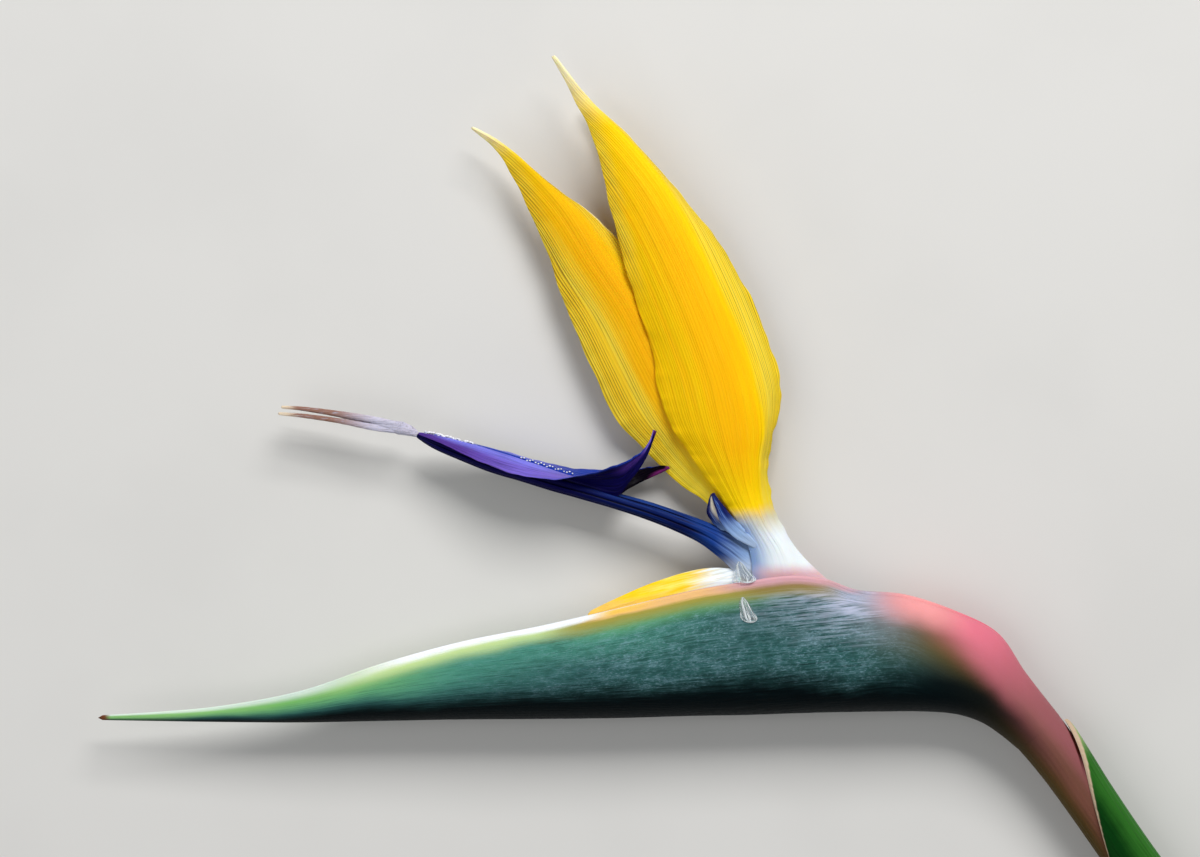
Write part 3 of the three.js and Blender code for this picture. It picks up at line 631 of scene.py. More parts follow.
def lay_rim(skin, level, cloud, fibre):
    """The beak's pale end, the rim with its lips, the bands of colour below it and the fold's inside, with
    a painted highlight along the rim and over the beak's upper part.
    """
    c = colours()
    x = skin.x
    height, rim, _ = skin.marks
    below = rim + (cloud - 0.5) * 1.2 + (fibre - 0.5) * 0.8
    # [colour, depth at which it starts and at which it is full, window along x, strength]
    for shade, start, full, window, strength in (
        (c.rim_lime, 3.4, 0.6, (-98, -74, -48, -34), 0.9),
        (c.rim_lime, 4.4, 1.4, (-92, -74, -62, -50), 0.6),
        (c.beak_green, 6.0, 2.5, (-46, -30, -12, 6), 0.45),
        (c.lip_gold, 4.2, 1.0, (-50, -38, 4, 14), 0.9),
        (c.lip_brown, 3.8, 0.8, (-12, -2, 4, 14), 0.8),
        (c.lip_salmon, 1.4, 0.6, (-42, -34, -14, -4), 1.0),
        (c.lip_pink, 1.6, 0.1, (-17, -6, 6, 12), 1.0),
        (c.lip_pink, 0.9, 0.1, (2, 6, 12, 18), 0.7),
        (c.bract_yellow, 1.1, 0.3, (-42, -36, -32, -22), 0.5),
    ):
        skin.lay(shade, below.above(start, full) * x.within(*window) * strength)
    # The pale rim before the throat, partly a painted highlight along the edge
    rim_and_highlight = (below * (x.above(-70, -46) * 0.6 + 1)).above(1.7, 0.3) * x.within(-90, -72, -40, -33)
    skin.lay(c.rim_white_and_highlight, rim_and_highlight)
    skin.lay(c.beak_tip, (level + x.above(-112, -128) * 0.3).above(0.2, 0.9) * x.above(-96, -116) * 0.8)
    # Painted highlight over the upper part of the beak's flank
    skin.lay(c.rim_white_and_highlight, height.above(0.72, 1.0) * x.above(-74, -94) * 0.6)
    within = rim.above(-0.3, -0.9)
    skin.lay(c.tissue_white, within * x.above(-20, -30) * x.above(-90, -80))
    skin.lay(c.lip_pink, within * x.within(-30, -20, 12, 18))


def lay_rose(skin, outer):
    """The rose bend, which turns olive and then takes painted shade towards its inner side, and the stem
    below it, with painted shade further down.
    """
    c = colours()
    x, y = skin.x, skin.y
    below_rose = outer - (x.above(24, 51) * -0.64 + 1.02)
    skin.lay(c.olive, x.above(12, 34) * below_rose.above(-0.78, -0.2) * 0.9)
    skin.lay(c.rose, x.above(18, 38) * below_rose.above(-0.38, 0.22))
    skin.lay(c.rose_pale, x.within(15, 27, 29, 40) * outer.above(0.72, 0.98) * 0.9)
    at_stem = x.above(28, 40)
    skin.lay(c.dusky_rose, y.above(-8, -28) * below_rose.above(-0.2, 0.2) * x.above(10, 24) * 0.95)
    skin.lay(c.olive, y.above(-18, -40) * below_rose.above(0.5, 0.05) * at_stem * 0.6)
    # Painted shade on the inner side of the bend
    skin.lay(c.keel_painted_shade, x.above(14, 32) * outer.above(0.66, 0.28) * y.above(-46, -24) * 0.95)
    # Painted shade: the stem darker further down
    skin.darken(0.68, y.above(-26, -52) * at_stem)


def plant_skin(name, is_stem):
    """The waxy skin that the spathe and the stem share, from the beak's green to the stem's rose.

    Its windows along x and y are in millimetres, and its heights are shares of the way from keel to rim.
    """
    c = colours()
    skin = Finish(name, 0.42, **SOFT)
    x, y, z = skin.x, skin.y, skin.z
    height = skin.marks[0]
    cloud = skin.mottle(0.06, 0.09, 0.12)
    # Fibres run along the girth, but level past the dip behind the throat.
    girth = ((height * -2 + 1).math("ARCCOSINE") + 1 - math.pi / 2) * (TALLEST / 2)
    level_part = x.within(-30, -10, 22, 38) * height.above(1.0, 0.9)
    grain = girth + level_part * (y - x * 0.1 + TALLEST - girth)
    fibre = skin.noise(x * 0.16, grain * 3.2, z * 0.08, detail=3.0, roughness=0.6)
    speck = skin.noise(x * 1.4, grain * 3.4, z * 0.15, detail=4.0, roughness=0.75)
    blotch = skin.noise(x * 0.4, grain * 0.7, z * 0.3, detail=4.0, roughness=0.6)
    level = height + (cloud - 0.5) * 0.3 + (fibre - 0.5) * 0.14
    skin.lay(c.spathe_teal)
    skin.lay(c.spathe_green, level.above(0.45, 0.85) * x.above(-4, -38))
    skin.lay(c.spathe_green, x.above(-34, -76) * level.above(0.25, 0.6))
    skin.lay(c.beak_green, x.above(-60, -94) * level.above(0.3, 0.8))
    # Painted shade: the lower flank and the keel go nearly black
    skin.lay(c.keel_painted_shade, (level + x.above(-84, -124) * 0.14).above(0.44, 0.14))
    clear = x.above(34, 12) * 0.75 + 0.25
    skin.darken(0.72, fibre.above(0.52, 0.3) * clear)
    if not is_stem:
        skin.darken(0.75, blotch.above(0.52, 0.3) * x.within(-70, -40, 20, 34))
        lay_bloom(skin, level, cloud, fibre, speck, blotch, clear)
        lay_rim(skin, level, cloud, fibre)
    lay_rose(skin, height + (cloud - 0.5) * 0.16)
    skin.lay(c.beak_brown, x.above(-133.6, -135.2))
    skin.bump(speck * 0.4 + fibre * clear, 0.1)
    skin.roughen(speck.above(0.3, 0.8) * 0.2 + 0.36)
    return skin


class OBJECT_OT_flower_spathe(bpy.types.Operator):
    """Adds the boat-shaped spathe with its parted lips"""

    bl_idname = "object.flower_spathe"
    bl_label = "Spathe"

    def execute(self, context):
        skin = plant_skin("spathe_skin", False).done()
        add_piece("spathe_skin", grown(210, 440, spathe_shape), [skin], "spathe", "spathe")
        return {"FINISHED"}


def cut_across(bm):
    """Takes off the spare length with a slanted cut and gives the edges that the knife leaves."""
    low, high = stem_at(STEM_LENGTH - 0.5)[:2], stem_at(STEM_LENGTH + 0.5)[:2]
    ahead = Matrix.Rotation(CUT_SLANT, 3, "Z") @ Vector((*(high - low), 0)).normalized()
    middle = THROAT + Vector(stem_at(STEM_LENGTH)[:3]) * MM
    geometry = bm.verts[:] + bm.edges[:] + bm.faces[:]
    bmesh.ops.bisect_plane(bm, geom=geometry, dist=WELD, plane_co=middle, plane_no=ahead, clear_outer=True)
    return [edge for edge in bm.edges if edge.is_boundary]


def sheath_rim(turn):
    """How far below the spathe's base the sheath's slanting rim is."""
    return SHEATH_TIP + SHEATH_RISE * (np.abs(turn) / np.pi) ** 1.2


def stem_shape(along, around):
    place = (STEM_LENGTH + STEM_SPARE) * along
    turn = 2 * np.pi * (around - 0.5)
    fibres = 0.03 * np.sin(30 * turn + 3 * ripple(place, 60)) * (0.6 + 0.4 * ripple(place, 23, 0.7))
    # Its top hides inside the spathe's end.
    extra = fibres * smooth(place, 2, 8) - CLEARANCE * smooth(place, LAP, 0)
    points_round = stem_ring(place, turn, extra)
    points_round = np.where(((along == 0) | (along == 1))[:, None], stem_at(place)[:, :3], points_round)
    return points_round, points((1 + np.cos(turn)) / 2, place, place - sheath_rim(turn))


class OBJECT_OT_flower_stem(bpy.types.Operator):
    """Adds the stem, cut across at its lower end"""

    bl_idname = "object.flower_stem"
    bl_label = "Stem"

    def execute(self, context):
        c = colours()
        bm = grown(150, 240, stem_shape)
        rim = cut_across(bm)
        for face in bmesh.ops.holes_fill(bm, edges=rim)["faces"]:
            face.material_index = 1
            bmesh.ops.inset_region(bm, faces=[face], thickness=CUT_RIM * MM)
            bmesh.ops.inset_region(bm, faces=[face], thickness=CUT_SLOPE * MM, depth=-CUT_SINK * MM)
        bmesh.ops.recalc_face_normals(bm, faces=bm.faces[:])
        skin = plant_skin("stem_skin", True)
        beside = skin.marks[2]
        # A dry scar and painted contact shadow along the sheath's rim near its point
        skin.lay(c.scar_and_shadow, beside.within(-1.8, -0.9, 0.4, 0.8) * skin.marks[1].above(16, 10))
        pith = Finish("stem_pith", 0.6, **SOFT)
        grain = pith.mottle(1.6, 1.6, 1.6)
        bundle = pith.mottle(3.1, 3.1, 3.1, detail=2.0)
        pith.lay(c.pith)
        pith.lay(c.olive, grain.above(0.5, 0.75) * 0.5)
        pith.lay(c.beak_brown, bundle.above(0.62, 0.7) * 0.7)
        pith.bump(grain + bundle, 0.2)
        add_piece("stem_skin", bm, [skin.done(), pith.done()], "stem", "stem")
        return {"FINISHED"}


def sheath_shape(along, around):
    turn = 2 * np.pi * (around - 0.5)
    rim = sheath_rim(turn)
    share = np.abs(2 * along - 1)
    place = rim + (STEM_LENGTH + STEM_SPARE - rim) * share**1.3
    outer = along < 0.5
    edge = np.sqrt(1 - (1 - np.clip((place - rim) / 2.5, 0, 1)) ** 2)
    veins = 0.035 * np.sin(26 * turn) * smooth(place - rim, 2, 6)
    flare = 0.25 * smooth(place - rim, 9, 0) * smooth(place, 22, 6)
    thick = sizes().sheath / MM
    extra = 0.1 + flare + np.where(outer, CLEARANCE + (thick - 0.1) * edge + veins, 0.0)
    from_rim = np.where(outer, place - rim, rim - place)
    return stem_ring(place, turn, extra), points((1 + np.cos(turn)) / 2, place, from_rim)


class OBJECT_OT_flower_sheath(bpy.types.Operator):
    """Adds the sheath leaf that wraps the stem"""

    bl_idname = "object.flower_sheath"
    bl_label = "Sheath leaf"

    def execute(self, context):
        c = colours()
        bm = grown(160, 240, sheath_shape)
        bmesh.ops.bridge_loops(bm, edges=cut_across(bm))
        bmesh.ops.recalc_face_normals(bm, faces=bm.faces[:])
        leaf = Finish("sheath_leaf", 0.45, **SOFT)
        height, place, from_rim = leaf.marks
        vein = leaf.noise(height * 30, place * 0.05, leaf.z * 0.4, detail=3.0)
        cloud = leaf.mottle(0.1, 0.1, 0.2)
        leaf.lay(c.leaf_green)
        leaf.lay(c.leaf_dark, (height + (cloud - 0.5) * 0.3).above(0.9, 0.5))
        leaf.darken(0.55, vein.above(0.5, 0.3) * 0.6)
        leaf.lay(c.rim_lime, place.above(13, 5) * 0.6)
        leaf.lay(c.leaf_margin, (from_rim + (vein - 0.5) * 1.0).above(1.4, 0.6))
        leaf.bump(vein, 0.15)
        add_piece("sheath_leaf", bm, [leaf.done()], "sheath", "stem_sheath")
        return {"FINISHED"}


# The inner bract and the ovary, between the spathe's lips

# [x, y, z, half-height, half-thickness]
bract_at = even_track(
    [-38.5, -8.2, 0, 0.9, 0.35],
    [-32, -6.6, 0, 2.3, 0.7],
    [-24, -4.4, 0, 3.4, 1.1],
    [-15, -2.5, 0, 4.0, 1.4],
    [-7.4, -2.3, 0, 3.7, 1.5],
)

# [y, x, half-length, half-width]
ovary_at = Track(
    [-OVARY_TOP, 0.6, 4.4, 2.2],
    [-4, 1.0, 5.6, 2.6],
    [0, 1.0, 5.8, 2.6],
    [4, -0.4, 4.2, 2.2],
    [OVARY_TOP, -1.6, 2.6, 1.5],
)


def bract_relief(along, turn):
    """Thins the bract towards its upper and lower edges."""
    thin = 1 - 0.45 * smooth(np.cos(turn), 0.3, 0.95)
    return np.where(np.abs(np.cos(turn)) > 0.999, 1.0, 1 - (1 - thin) * np.abs(np.sin(turn)))


def bract_shape(along, around):
    place, marks = rod(bract_at, 0, 1, 0.05, bract_relief)(along, around)
    wave = 0.22 * ripple(place[:, 0], 8.5) * smooth(marks[:, 1], 0.4, 1)
    furrow = 0.03 * np.sin(40 * marks[:, 1]) * np.sign(place[:, 2])
    return place + points(0.0, 0.0, wave + furrow), marks


class OBJECT_OT_flower_bract(bpy.types.Operator):
    """Adds the papery inner bract in front of the open flower"""

    bl_idname = "object.flower_bract"
    bl_label = "Inner bract"

    def execute(self, context):
        c = colours()
        paper = Finish("inner_bract_paper", 0.4, **SOFT)
        streak = paper.noise(paper.x * 0.12, paper.y * 2.2 - paper.x * 0.5, paper.z * 0.5, detail=3.0)
        spread = paper.x + (streak - 0.5) * 14
        paper.lay(c.bract_yellow)
        paper.lay(c.bract_pale, streak.above(0.4, 0.7) * paper.x.above(-30, -22))
        paper.lay(c.lip_salmon, paper.y.above(-3.6, -5.6) * streak.above(0.3, 0.5) * 0.5)
        paper.lay(c.tissue_white, spread.above(-20, -11))
        paper.lay(c.bloom_grey, spread.above(-22, -8) * streak.within(0.3, 0.4, 0.44, 0.52) * 0.35)
        paper.bump(streak, 0.15)
        add_piece("inner_bract_paper", grown(90, 96, bract_shape), [paper.done()], "bract", "inner_bract")
        return {"FINISHED"}


def ovary_shape(along, around):
    y = OVARY_TOP * (2 * along - 1)
    x, half_length, half_width = ovary_at(y).T
    turn = 2 * np.pi * around
    swell = rounded_ends(along, 0.1) * (1 + 0.02 * np.cos(9 * turn))
    place = points(x + half_length * swell * np.cos(turn), y, half_width * swell * np.sin(turn))
    return place, points(along, around, 0.0)


class OBJECT_OT_flower_ovary(bpy.types.Operator):
    """Adds the ovary's white top, which carries the flower's parts"""

    bl_idname = "object.flower_ovary"
    bl_label = "Ovary"

    def execute(self, context):
        c = colours()
        tissue = Finish("ovary_tissue", 0.38, **SOFT)
        streak = tissue.mottle(1.8, 0.3, 1.8)
        tissue.lay(c.tissue_white)
        tissue.lay(c.bloom_lilac, streak.above(0.5, 0.75) * 0.5)
        tissue.lay(c.lip_pink, tissue.y.above(3.0, 0.2) * tissue.x.above(-8, -1) * 0.85)
        tissue.lay(c.claw_pale, tissue.x.above(0, -5) * 0.7)
        tissue.bump(streak, 0.12)
        add_piece("ovary_tissue", grown(60, 72, ovary_shape), [tissue.done()], "ovary", "ovary")
        return {"FINISHED"}


# The sepals: three long keeled blades

# [left x, y, z, crease x, y, z, right x, y, z, bulge], with the share across at which the crease runs
NEAR_CREASE = 0.7
near_sepal_at = even_track(
    [-5.6, -3.4, 2.2, 3.4, -3.4, 3.6, 11.6, -2.6, 0.8, 0.3],
    [-6.0, 4.4, 2.5, 1.4, 4.4, 3.7, 4.4, 4.2, 0.8, 0.3],
    [-8.6, 10.6, 2.3, -2.6, 11.0, 3.5, 0.2, 10.6, 0.8, 0.8],
    [-12.0, 15.6, 1.7, -4.2, 16.8, 3.3, -1.9, 16.6, 1.2, 1.0],
    [-17.0, 23.0, 1.3, -4.2, 23.0, 3.7, -2.3, 23.0, 1.4, 1.6],
    [-21.6, 29.4, 1.2, -3.4, 29.2, 4.2, -1.0, 29.4, 1.0, 2.0],
    [-24.2, 37.0, 1.2, -4.6, 37.0, 4.6, 0.4, 37.0, -0.6, 2.3],
    [-26.0, 46.0, 1.2, -7.6, 46.0, 4.8, -1.8, 46.0, -1.2, 2.4],
    [-29.4, 57.0, 1.3, -12.0, 57.0, 4.8, -6.4, 57.0, -0.8, 2.2],
    [-32.6, 67.6, 1.5, -17.0, 67.6, 4.7, -12.8, 67.6, 0.0, 1.8],
    [-34.6, 77.0, 2.0, -22.4, 77.0, 4.5, -20.4, 77.0, 0.6, 1.3],
    [-37.2, 86.4, 2.7, -29.7, 86.4, 4.2, -28.8, 86.4, 2.0, 0.8],
    [-41.1, 95.4, 3.1, -38.9, 95.6, 4.0, -38.4, 95.6, 3.2, 0.2],
    [-45.7, 103.7, 3.6, -45.3, 103.9, 3.8, -45.0, 104.0, 3.6, 0],
)
MIDDLE_CREASE = 0.55
middle_sepal_at = even_track(
    [-6.4, 4.0, 0, -4.4, 5.0, 0.1, -2.6, 6.0, 0, 0],
    [-10.0, 9.6, -0.5, -7.0, 10.6, 0.0, -4.4, 11.4, -0.5, 0.1],
    [-15.4, 15.0, -2.0, -11.8, 18.0, 0.0, -8.0, 20.6, -0.8, 0.1],
    [-21.0, 19.2, -3.4, -15.0, 24.0, 0.1, -10.8, 28.0, -1.1, 0.1],
    [-26.6, 24.6, -3.4, -18.0, 29.6, 0.2, -13.4, 34.6, -1.3, 0.2],
    [-32.4, 31.0, -2.2, -21.2, 36.0, 0.3, -15.8, 41.6, -1.3, 0.2],
    [-37.4, 40.6, -1.3, -25.4, 44.6, 0.3, -19.4, 49.2, -1.3, 0.2],
    [-41.5, 50.6, -1.4, -30.2, 53.8, 0.4, -23.6, 57.4, -1.3, 0.2],
    [-45.2, 60.4, -1.4, -36.4, 63.2, 0.5, -30.4, 65.4, -1.3, 0.4],
    [-49.3, 71.2, -1.3, -42.8, 73.4, 0.5, -38.0, 72.7, -1.1, 0.4],
    [-53.4, 79.8, -1.1, -50.0, 81.4, 0.3, -47.2, 79.4, -0.7, 0.2],
    [-57.6, 85.9, -0.8, -56.2, 86.6, -0.1, -54.4, 85.8, -0.4, 0.1],
    [-61.9, 89.6, -0.6, -61.6, 89.8, -0.4, -61.3, 89.9, -0.5, 0],
)
FAR_CREASE = 0.68
far_sepal_at = even_track(
    [-5.6, -3.4, -2.2, 3.2, -3.4, -3.6, 7.8, -3.2, -0.8, -0.3],
    [-5.8, 4.4, -2.5, 0.8, 4.4, -3.7, 3.6, 4.2, -0.8, -0.3],
    [-7.4, 10.8, -2.6, -3.0, 11.4, -4.2, -0.8, 10.8, -1.0, -0.6],
    [-11.0, 17.4, -2.8, -4.8, 17.8, -5.0, -2.8, 17.2, -1.3, -0.9],
    [-14.6, 24.6, -2.8, -4.6, 24.8, -6.0, -2.6, 24.6, -1.9, -1.3],
    [-18.6, 33.0, -2.8, -4.8, 33.0, -7.0, -1.8, 33.0, -3.2, -1.5],
    [-22.8, 42.6, -2.8, -7.2, 42.4, -7.7, -2.4, 42.6, -4.2, -1.6],
    [-25.6, 52.0, -2.8, -11.2, 52.0, -7.9, -6.2, 52.0, -4.4, -1.6],
    [-28.4, 62.0, -2.9, -15.8, 62.0, -7.5, -11.6, 62.4, -3.8, -1.3],
    [-31.4, 72.6, -3.0, -21.4, 72.6, -6.6, -18.2, 73.0, -3.4, -1.0],
    [-33.6, 82.0, -3.2, -27.8, 82.0, -5.6, -26.0, 83.4, -3.4, -0.6],
    [-36.4, 90.0, -3.6, -33.9, 90.2, -4.8, -32.8, 90.6, -3.8, -0.3],
    [-39.6, 95.0, -4.2, -39.2, 95.2, -4.3, -38.9, 95.3, -4.2, 0],
)


def sepal_shape(lines, crease_at, seed):
    """A keeled blade with soft folds.

    Its marks are the distance across from the crease, which is negative on the left, the share along and
    the distance from the nearer edge.
    """
    shares = np.linspace(0, 1, 400)
    table = lines(shares)
    left_wide = np.linalg.norm(table[:, 0:3] - table[:, 3:6], axis=1)
    right_wide = np.linalg.norm(table[:, 6:9] - table[:, 3:6], axis=1)
    reach = np.linalg.norm(np.diff(table[:, 3:5], axis=0), axis=1).sum()

    def veins_apart(along, wide):
        """Towards the base the veins draw together, and towards the tip they run out at the edges."""
        return np.interp(along, shares, np.maximum.accumulate(wide[::-1])[::-1])

    def across_from_crease(along, across):
        left = veins_apart(along, left_wide) * np.minimum(across / crease_at - 1, 0)
        return left + veins_apart(along, right_wide) * np.maximum((across - crease_at) / (1 - crease_at), 0)

    def edge_distance(along, across):
        left = np.interp(along, shares, left_wide) * across / crease_at
        right = np.interp(along, shares, right_wide) * (1 - across) / (1 - crease_at)
        return np.where(across < crease_at, left, right)

    def middle(along, across):
        values = lines(along)
        bulge = values[:, 9] * np.sin(np.pi * np.clip(across / crease_at, 0, 1))
        edge = edge_distance(along, across)
        inner = smooth(along, 0.06, 0.2) * smooth(along, 1, 0.9)
        from_edge = np.exp(-edge / 1.8) * inner
        side = np.where(across < crease_at, -1.0, 1.0)
        ruffle = 0.28 * ripple(along * reach, 11 + 3 * side, seed + side) * from_edge
        sway = 0.3 * side * ripple(along * reach, 15 - 4 * side, 2 * seed + side)
        sway = sway * np.exp(-edge / 0.9) * inner
        fold = ripple(across_from_crease(along, across) + 0.5 * ripple(along, 0.7, seed), 3.4, seed)
        depth = sizes().fold_depth / MM * smooth(edge, 0.2, 1) * smooth(along, 0.03, 0.12)
        return creased(values, across, crease_at, 0.05) + points(sway, 0.0, bulge + ruffle + fold * depth)

    def half_thickness(along, across):
        rib, edge = sizes().sepal_rib / MM, sizes().sepal_edge / MM
        return (edge + (rib - edge) * (1 - from_crease(across, crease_at)) ** 1.5) / 2

    def marks(along, across, face):
        return points(across_from_crease(along, across), along, edge_distance(along, across))

    return blade(middle, half_thickness, marks)


def sepal_finish(name, streak_at, pale_from, pale_to, white_from, white_to, light):
    """A yellow sepal with an orange streak, pale veined wings and a white base, with painted shade over its
    middle length and a painted highlight along its right edge near the tip.
    """
    c = colours()
    skin = Finish(
        name,
        0.55,
        Subsurface_Weight=0.25,
        Subsurface_Scale=1.5 * MM,
        Subsurface_Radius=(1.0, 0.6, 0.1),
        Specular_IOR_Level=0.08,
    )
    across, along, edge = skin.marks
    vein = skin.noise(across * 1.4, along * 5, 0.0, detail=2.0)
    fine = skin.noise(across * 5.5, along * 12, 1.0, detail=3.0)
    cloud = skin.noise(across * 0.16, along * 7, 2.0, detail=2.0)
    drift = skin.noise(across * 0.5, along * 3, 4.0, detail=2.0)
    bar = ((across + (drift - 0.5) * 1.2) * (2 * math.pi * MM / sizes().vein_spacing)).math("SINE")
    margin = (edge + (cloud - 0.5) * 3).above(4.0, 1.0) * along.above(0.58, 0.7) * 0.8
    wing = (across + (cloud - 0.5) * 3.5).above(pale_from, pale_to).math("MAXIMUM", margin)
    skin.lay(c.gold)
    streak = (across - streak_at + (cloud - 0.5) * 4).math("ABSOLUTE")
    skin.lay(c.orange, streak.above(7.0, 1.0) * along.within(0.2, 0.36, 0.66, 0.88))
    skin.lay(c.orange, (across - streak_at).above(-1, -5) * along.within(0.2, 0.36, 0.7, 0.9) * 0.4)
    skin.lay(c.orange, drift.above(0.46, 0.7) * wing.above(0.6, 0.1) * along.above(0.22, 0.36) * 0.7)
    skin.lay(c.straw, wing * (drift.above(0.62, 0.36) * 0.5 + 0.45))
    skin.lay(c.vein, bar.above(-0.4, -1.0) * wing * along.above(0.2, 0.4) * vein.above(0.3, 0.6) * 0.7)
    skin.lay(c.vein, bar.above(-0.6, -1.0) * vein.above(0.5, 0.7) * along.above(0.2, 0.4) * 0.12)
    outer_wing = wing * edge.above(4.0, 1.0) * along.within(0.36, 0.5, 0.8, 0.9)
    skin.lay(c.vein, bar.above(0.4, -0.8) * outer_wing * 0.45)
    skin.lay(c.straw, fine.above(0.55, 0.8) * 0.2)
    # Painted shade: the sepals that lie behind the near one are darker over the middle of their length
    skin.darken(light, along.within(0.26, 0.5, 0.8, 0.95))
    skin.lay(c.pale_tip_and_edge_highlight, along.above(0.87, 0.98) * 0.7)
    # Painted highlight along the right edge towards the tip
    skin.lay(c.pale_tip_and_edge_highlight, edge.above(0.6, 0.1) * across.above(-0.2, 0.2) * along.above(0.66, 0.8) * 0.7)
    base = skin.y - skin.x * 0.3 + (vein - 0.5) * 1.5 + (cloud - 0.5) * 2.5
    skin.lay(c.neck_grey, base.above(white_to + 1, white_from + 1.5) * 0.8)
    skin.lay(c.tissue_white, base.above(white_to - 1, white_from - 3))
    beside_claw = (edge + (fine - 0.5) * 0.8).above(5.5, 0.2) * across.above(-0.6, -3.0)
    skin.lay(c.claw_pale, beside_claw * skin.y.above(14, 9))
    skin.lay(c.claw_mid, beside_claw.above(0.7, 1.0) * skin.y.within(1.0, 3.0, 7.0, 11.0) * 0.22)
    foot = skin.y + (cloud - 0.5) * 1.5 + (fine - 0.5) * 0.3
    skin.lay(c.lip_pink, foot.above(3.0, 0.2) * skin.x.above(-8, -1) * 0.85)
    skin.bump((bar * 0.3 + fine) * along.above(0.1, 0.3), 0.08)
    return skin.done()


class OBJECT_OT_flower_sepals(bpy.types.Operator):
    """Adds the three yellow sepals"""

    bl_idname = "object.flower_sepals"
    bl_label = "Sepals"

    def execute(self, context):
        # The last column darkens each sepal: painted shade on the sepals that lie behind
        for name, lines, crease_at, streak_at, pale, white, light in (
            ("near", near_sepal_at, NEAR_CREASE, -6.0, (0.0, 1.6), (10.6, 15.0), 1.0),
            ("middle", middle_sepal_at, MIDDLE_CREASE, -0.5, (-3.0, -6.5), (8, 12), 0.86),
            ("far", far_sepal_at, FAR_CREASE, -6.0, (0.2, 1.6), (9, 14), 0.8),
        ):
            finish = sepal_finish(f"sepal_{name}_skin", streak_at, *pale, *white, light)
            bm = grown(200, 224, sepal_shape(lines, crease_at, len(name) + crease_at))
            add_piece(f"sepal_{name}_skin", bm, [finish], "sepal", f"sepal_{name}")
        return {"FINISHED"}


# The arrow: two blue petals side by side, each one half of a ridged claw with a barbed flange

# [x, y, z, half-height, half-depth], from the ovary to the arrow's point
claw_at = even_track(
    [-1.0, 0.4, 0, 3.2, 1.7],
    [-5.6, 2.4, 0, 3.2, 1.9],
    [-10.2, 5.8, 0, 2.8, 2.1],
    [-15.0, 8.6, 0, 2.2, 2.3],
    [-20.4, 10.9, 0, 1.9, 2.2],
    [-26.4, 13.1, 0, 1.75, 2.1],
    [-32.6, 15.0, 0, 1.6, 2.0],
    [-39.8, 17.2, 0, 1.7, 2.0],
    [-45.8, 18.9, 0, 1.7, 1.9],
    [-51.6, 20.6, 0, 1.6, 1.8],
    [-57.4, 22.2, 0, 1.5, 1.7],
    [-63.0, 24.3, 0, 1.4, 1.6],
    [-68.8, 26.5, 0, 1.1, 1.4],
    [-72.8, 28.3, 0, 0.45, 0.8],
)
CLAW_RIDGES = 7  # round the whole claw

# [root x, y, z, crest x, y, z, free edge x, y, z], with the share across at which the crest runs
FLANGE_FOLD = 0.3
near_flange_at = even_track(
    [-72.4, 28.3, 0.7, -72.4, 28.5, 0.7, -72.3, 28.3, 0.9],
    [-68.0, 26.7, 1.1, -68.0, 27.8, 1.1, -67.9, 26.6, 2.4],
    [-62.0, 24.5, 1.1, -62.0, 26.4, 1.1, -62.1, 23.9, 3.7],
    [-56.0, 22.4, 1.1, -56.0, 24.7, 1.1, -56.2, 21.4, 4.9],
    [-50.0, 20.6, 1.1, -50.0, 22.7, 1.1, -50.4, 19.9, 5.6],
    [-44.6, 19.0, 1.1, -44.6, 20.8, 1.1, -45.0, 19.4, 6.0],
    [-40.2, 17.7, 1.2, -40.2, 19.3, 1.2, -39.6, 20.2, 6.2],
    [-36.4, 16.6, 1.3, -36.0, 18.1, 1.6, -35.2, 21.4, 6.2],
    [-32.8, 15.9, 1.5, -32.2, 17.9, 2.7, -31.6, 22.7, 6.0],
    [-30.6, 18.3, 3.2, -30.0, 19.8, 3.9, -29.2, 23.9, 5.8],
    [-28.4, 21.0, 4.5, -28.1, 22.1, 4.8, -27.4, 25.3, 5.6],
    [-26.5, 24.3, 5.2, -26.4, 24.9, 5.3, -26.1, 27.1, 5.5],
    [-24.7, 28.9, 5.4, -24.8, 29.0, 5.4, -25.4, 29.3, 5.4],
)
far_flange_at = even_track(
    [-72.4, 28.3, -0.7, -72.4, 28.5, -0.7, -72.3, 28.7, -0.9],
    [-68.0, 26.7, -1.1, -68.0, 27.8, -1.1, -68.0, 27.95, -2.4],
    [-62.0, 24.5, -1.1, -62.0, 26.4, -1.1, -62.0, 26.55, -3.7],
    [-56.0, 22.4, -1.1, -56.0, 24.7, -1.1, -56.0, 25.05, -4.9],
    [-50.0, 20.6, -1.1, -50.0, 22.7, -1.1, -50.0, 23.45, -5.6],
    [-44.6, 19.0, -1.1, -44.6, 20.8, -1.1, -44.8, 22.15, -6.0],
    [-40.2, 17.7, -1.2, -40.2, 19.3, -1.2, -39.6, 21.35, -6.2],
    [-36.4, 16.6, -1.3, -36.0, 18.1, -1.6, -34.8, 21.25, -6.2],
    [-32.8, 15.9, -1.5, -32.0, 17.7, -2.7, -30.8, 21.25, -6.0],
    [-30.4, 17.3, -3.2, -29.6, 18.4, -3.9, -28.0, 21.45, -5.8],
    [-27.8, 18.7, -4.2, -27.2, 19.4, -4.3, -25.6, 21.85, -4.6],
    [-24.8, 20.1, -3.3, -24.4, 20.6, -3.3, -23.4, 22.1, -3.3],
    [-21.9, 21.5, -2.1, -22.0, 21.6, -2.1, -22.2, 21.9, -2.1],
)

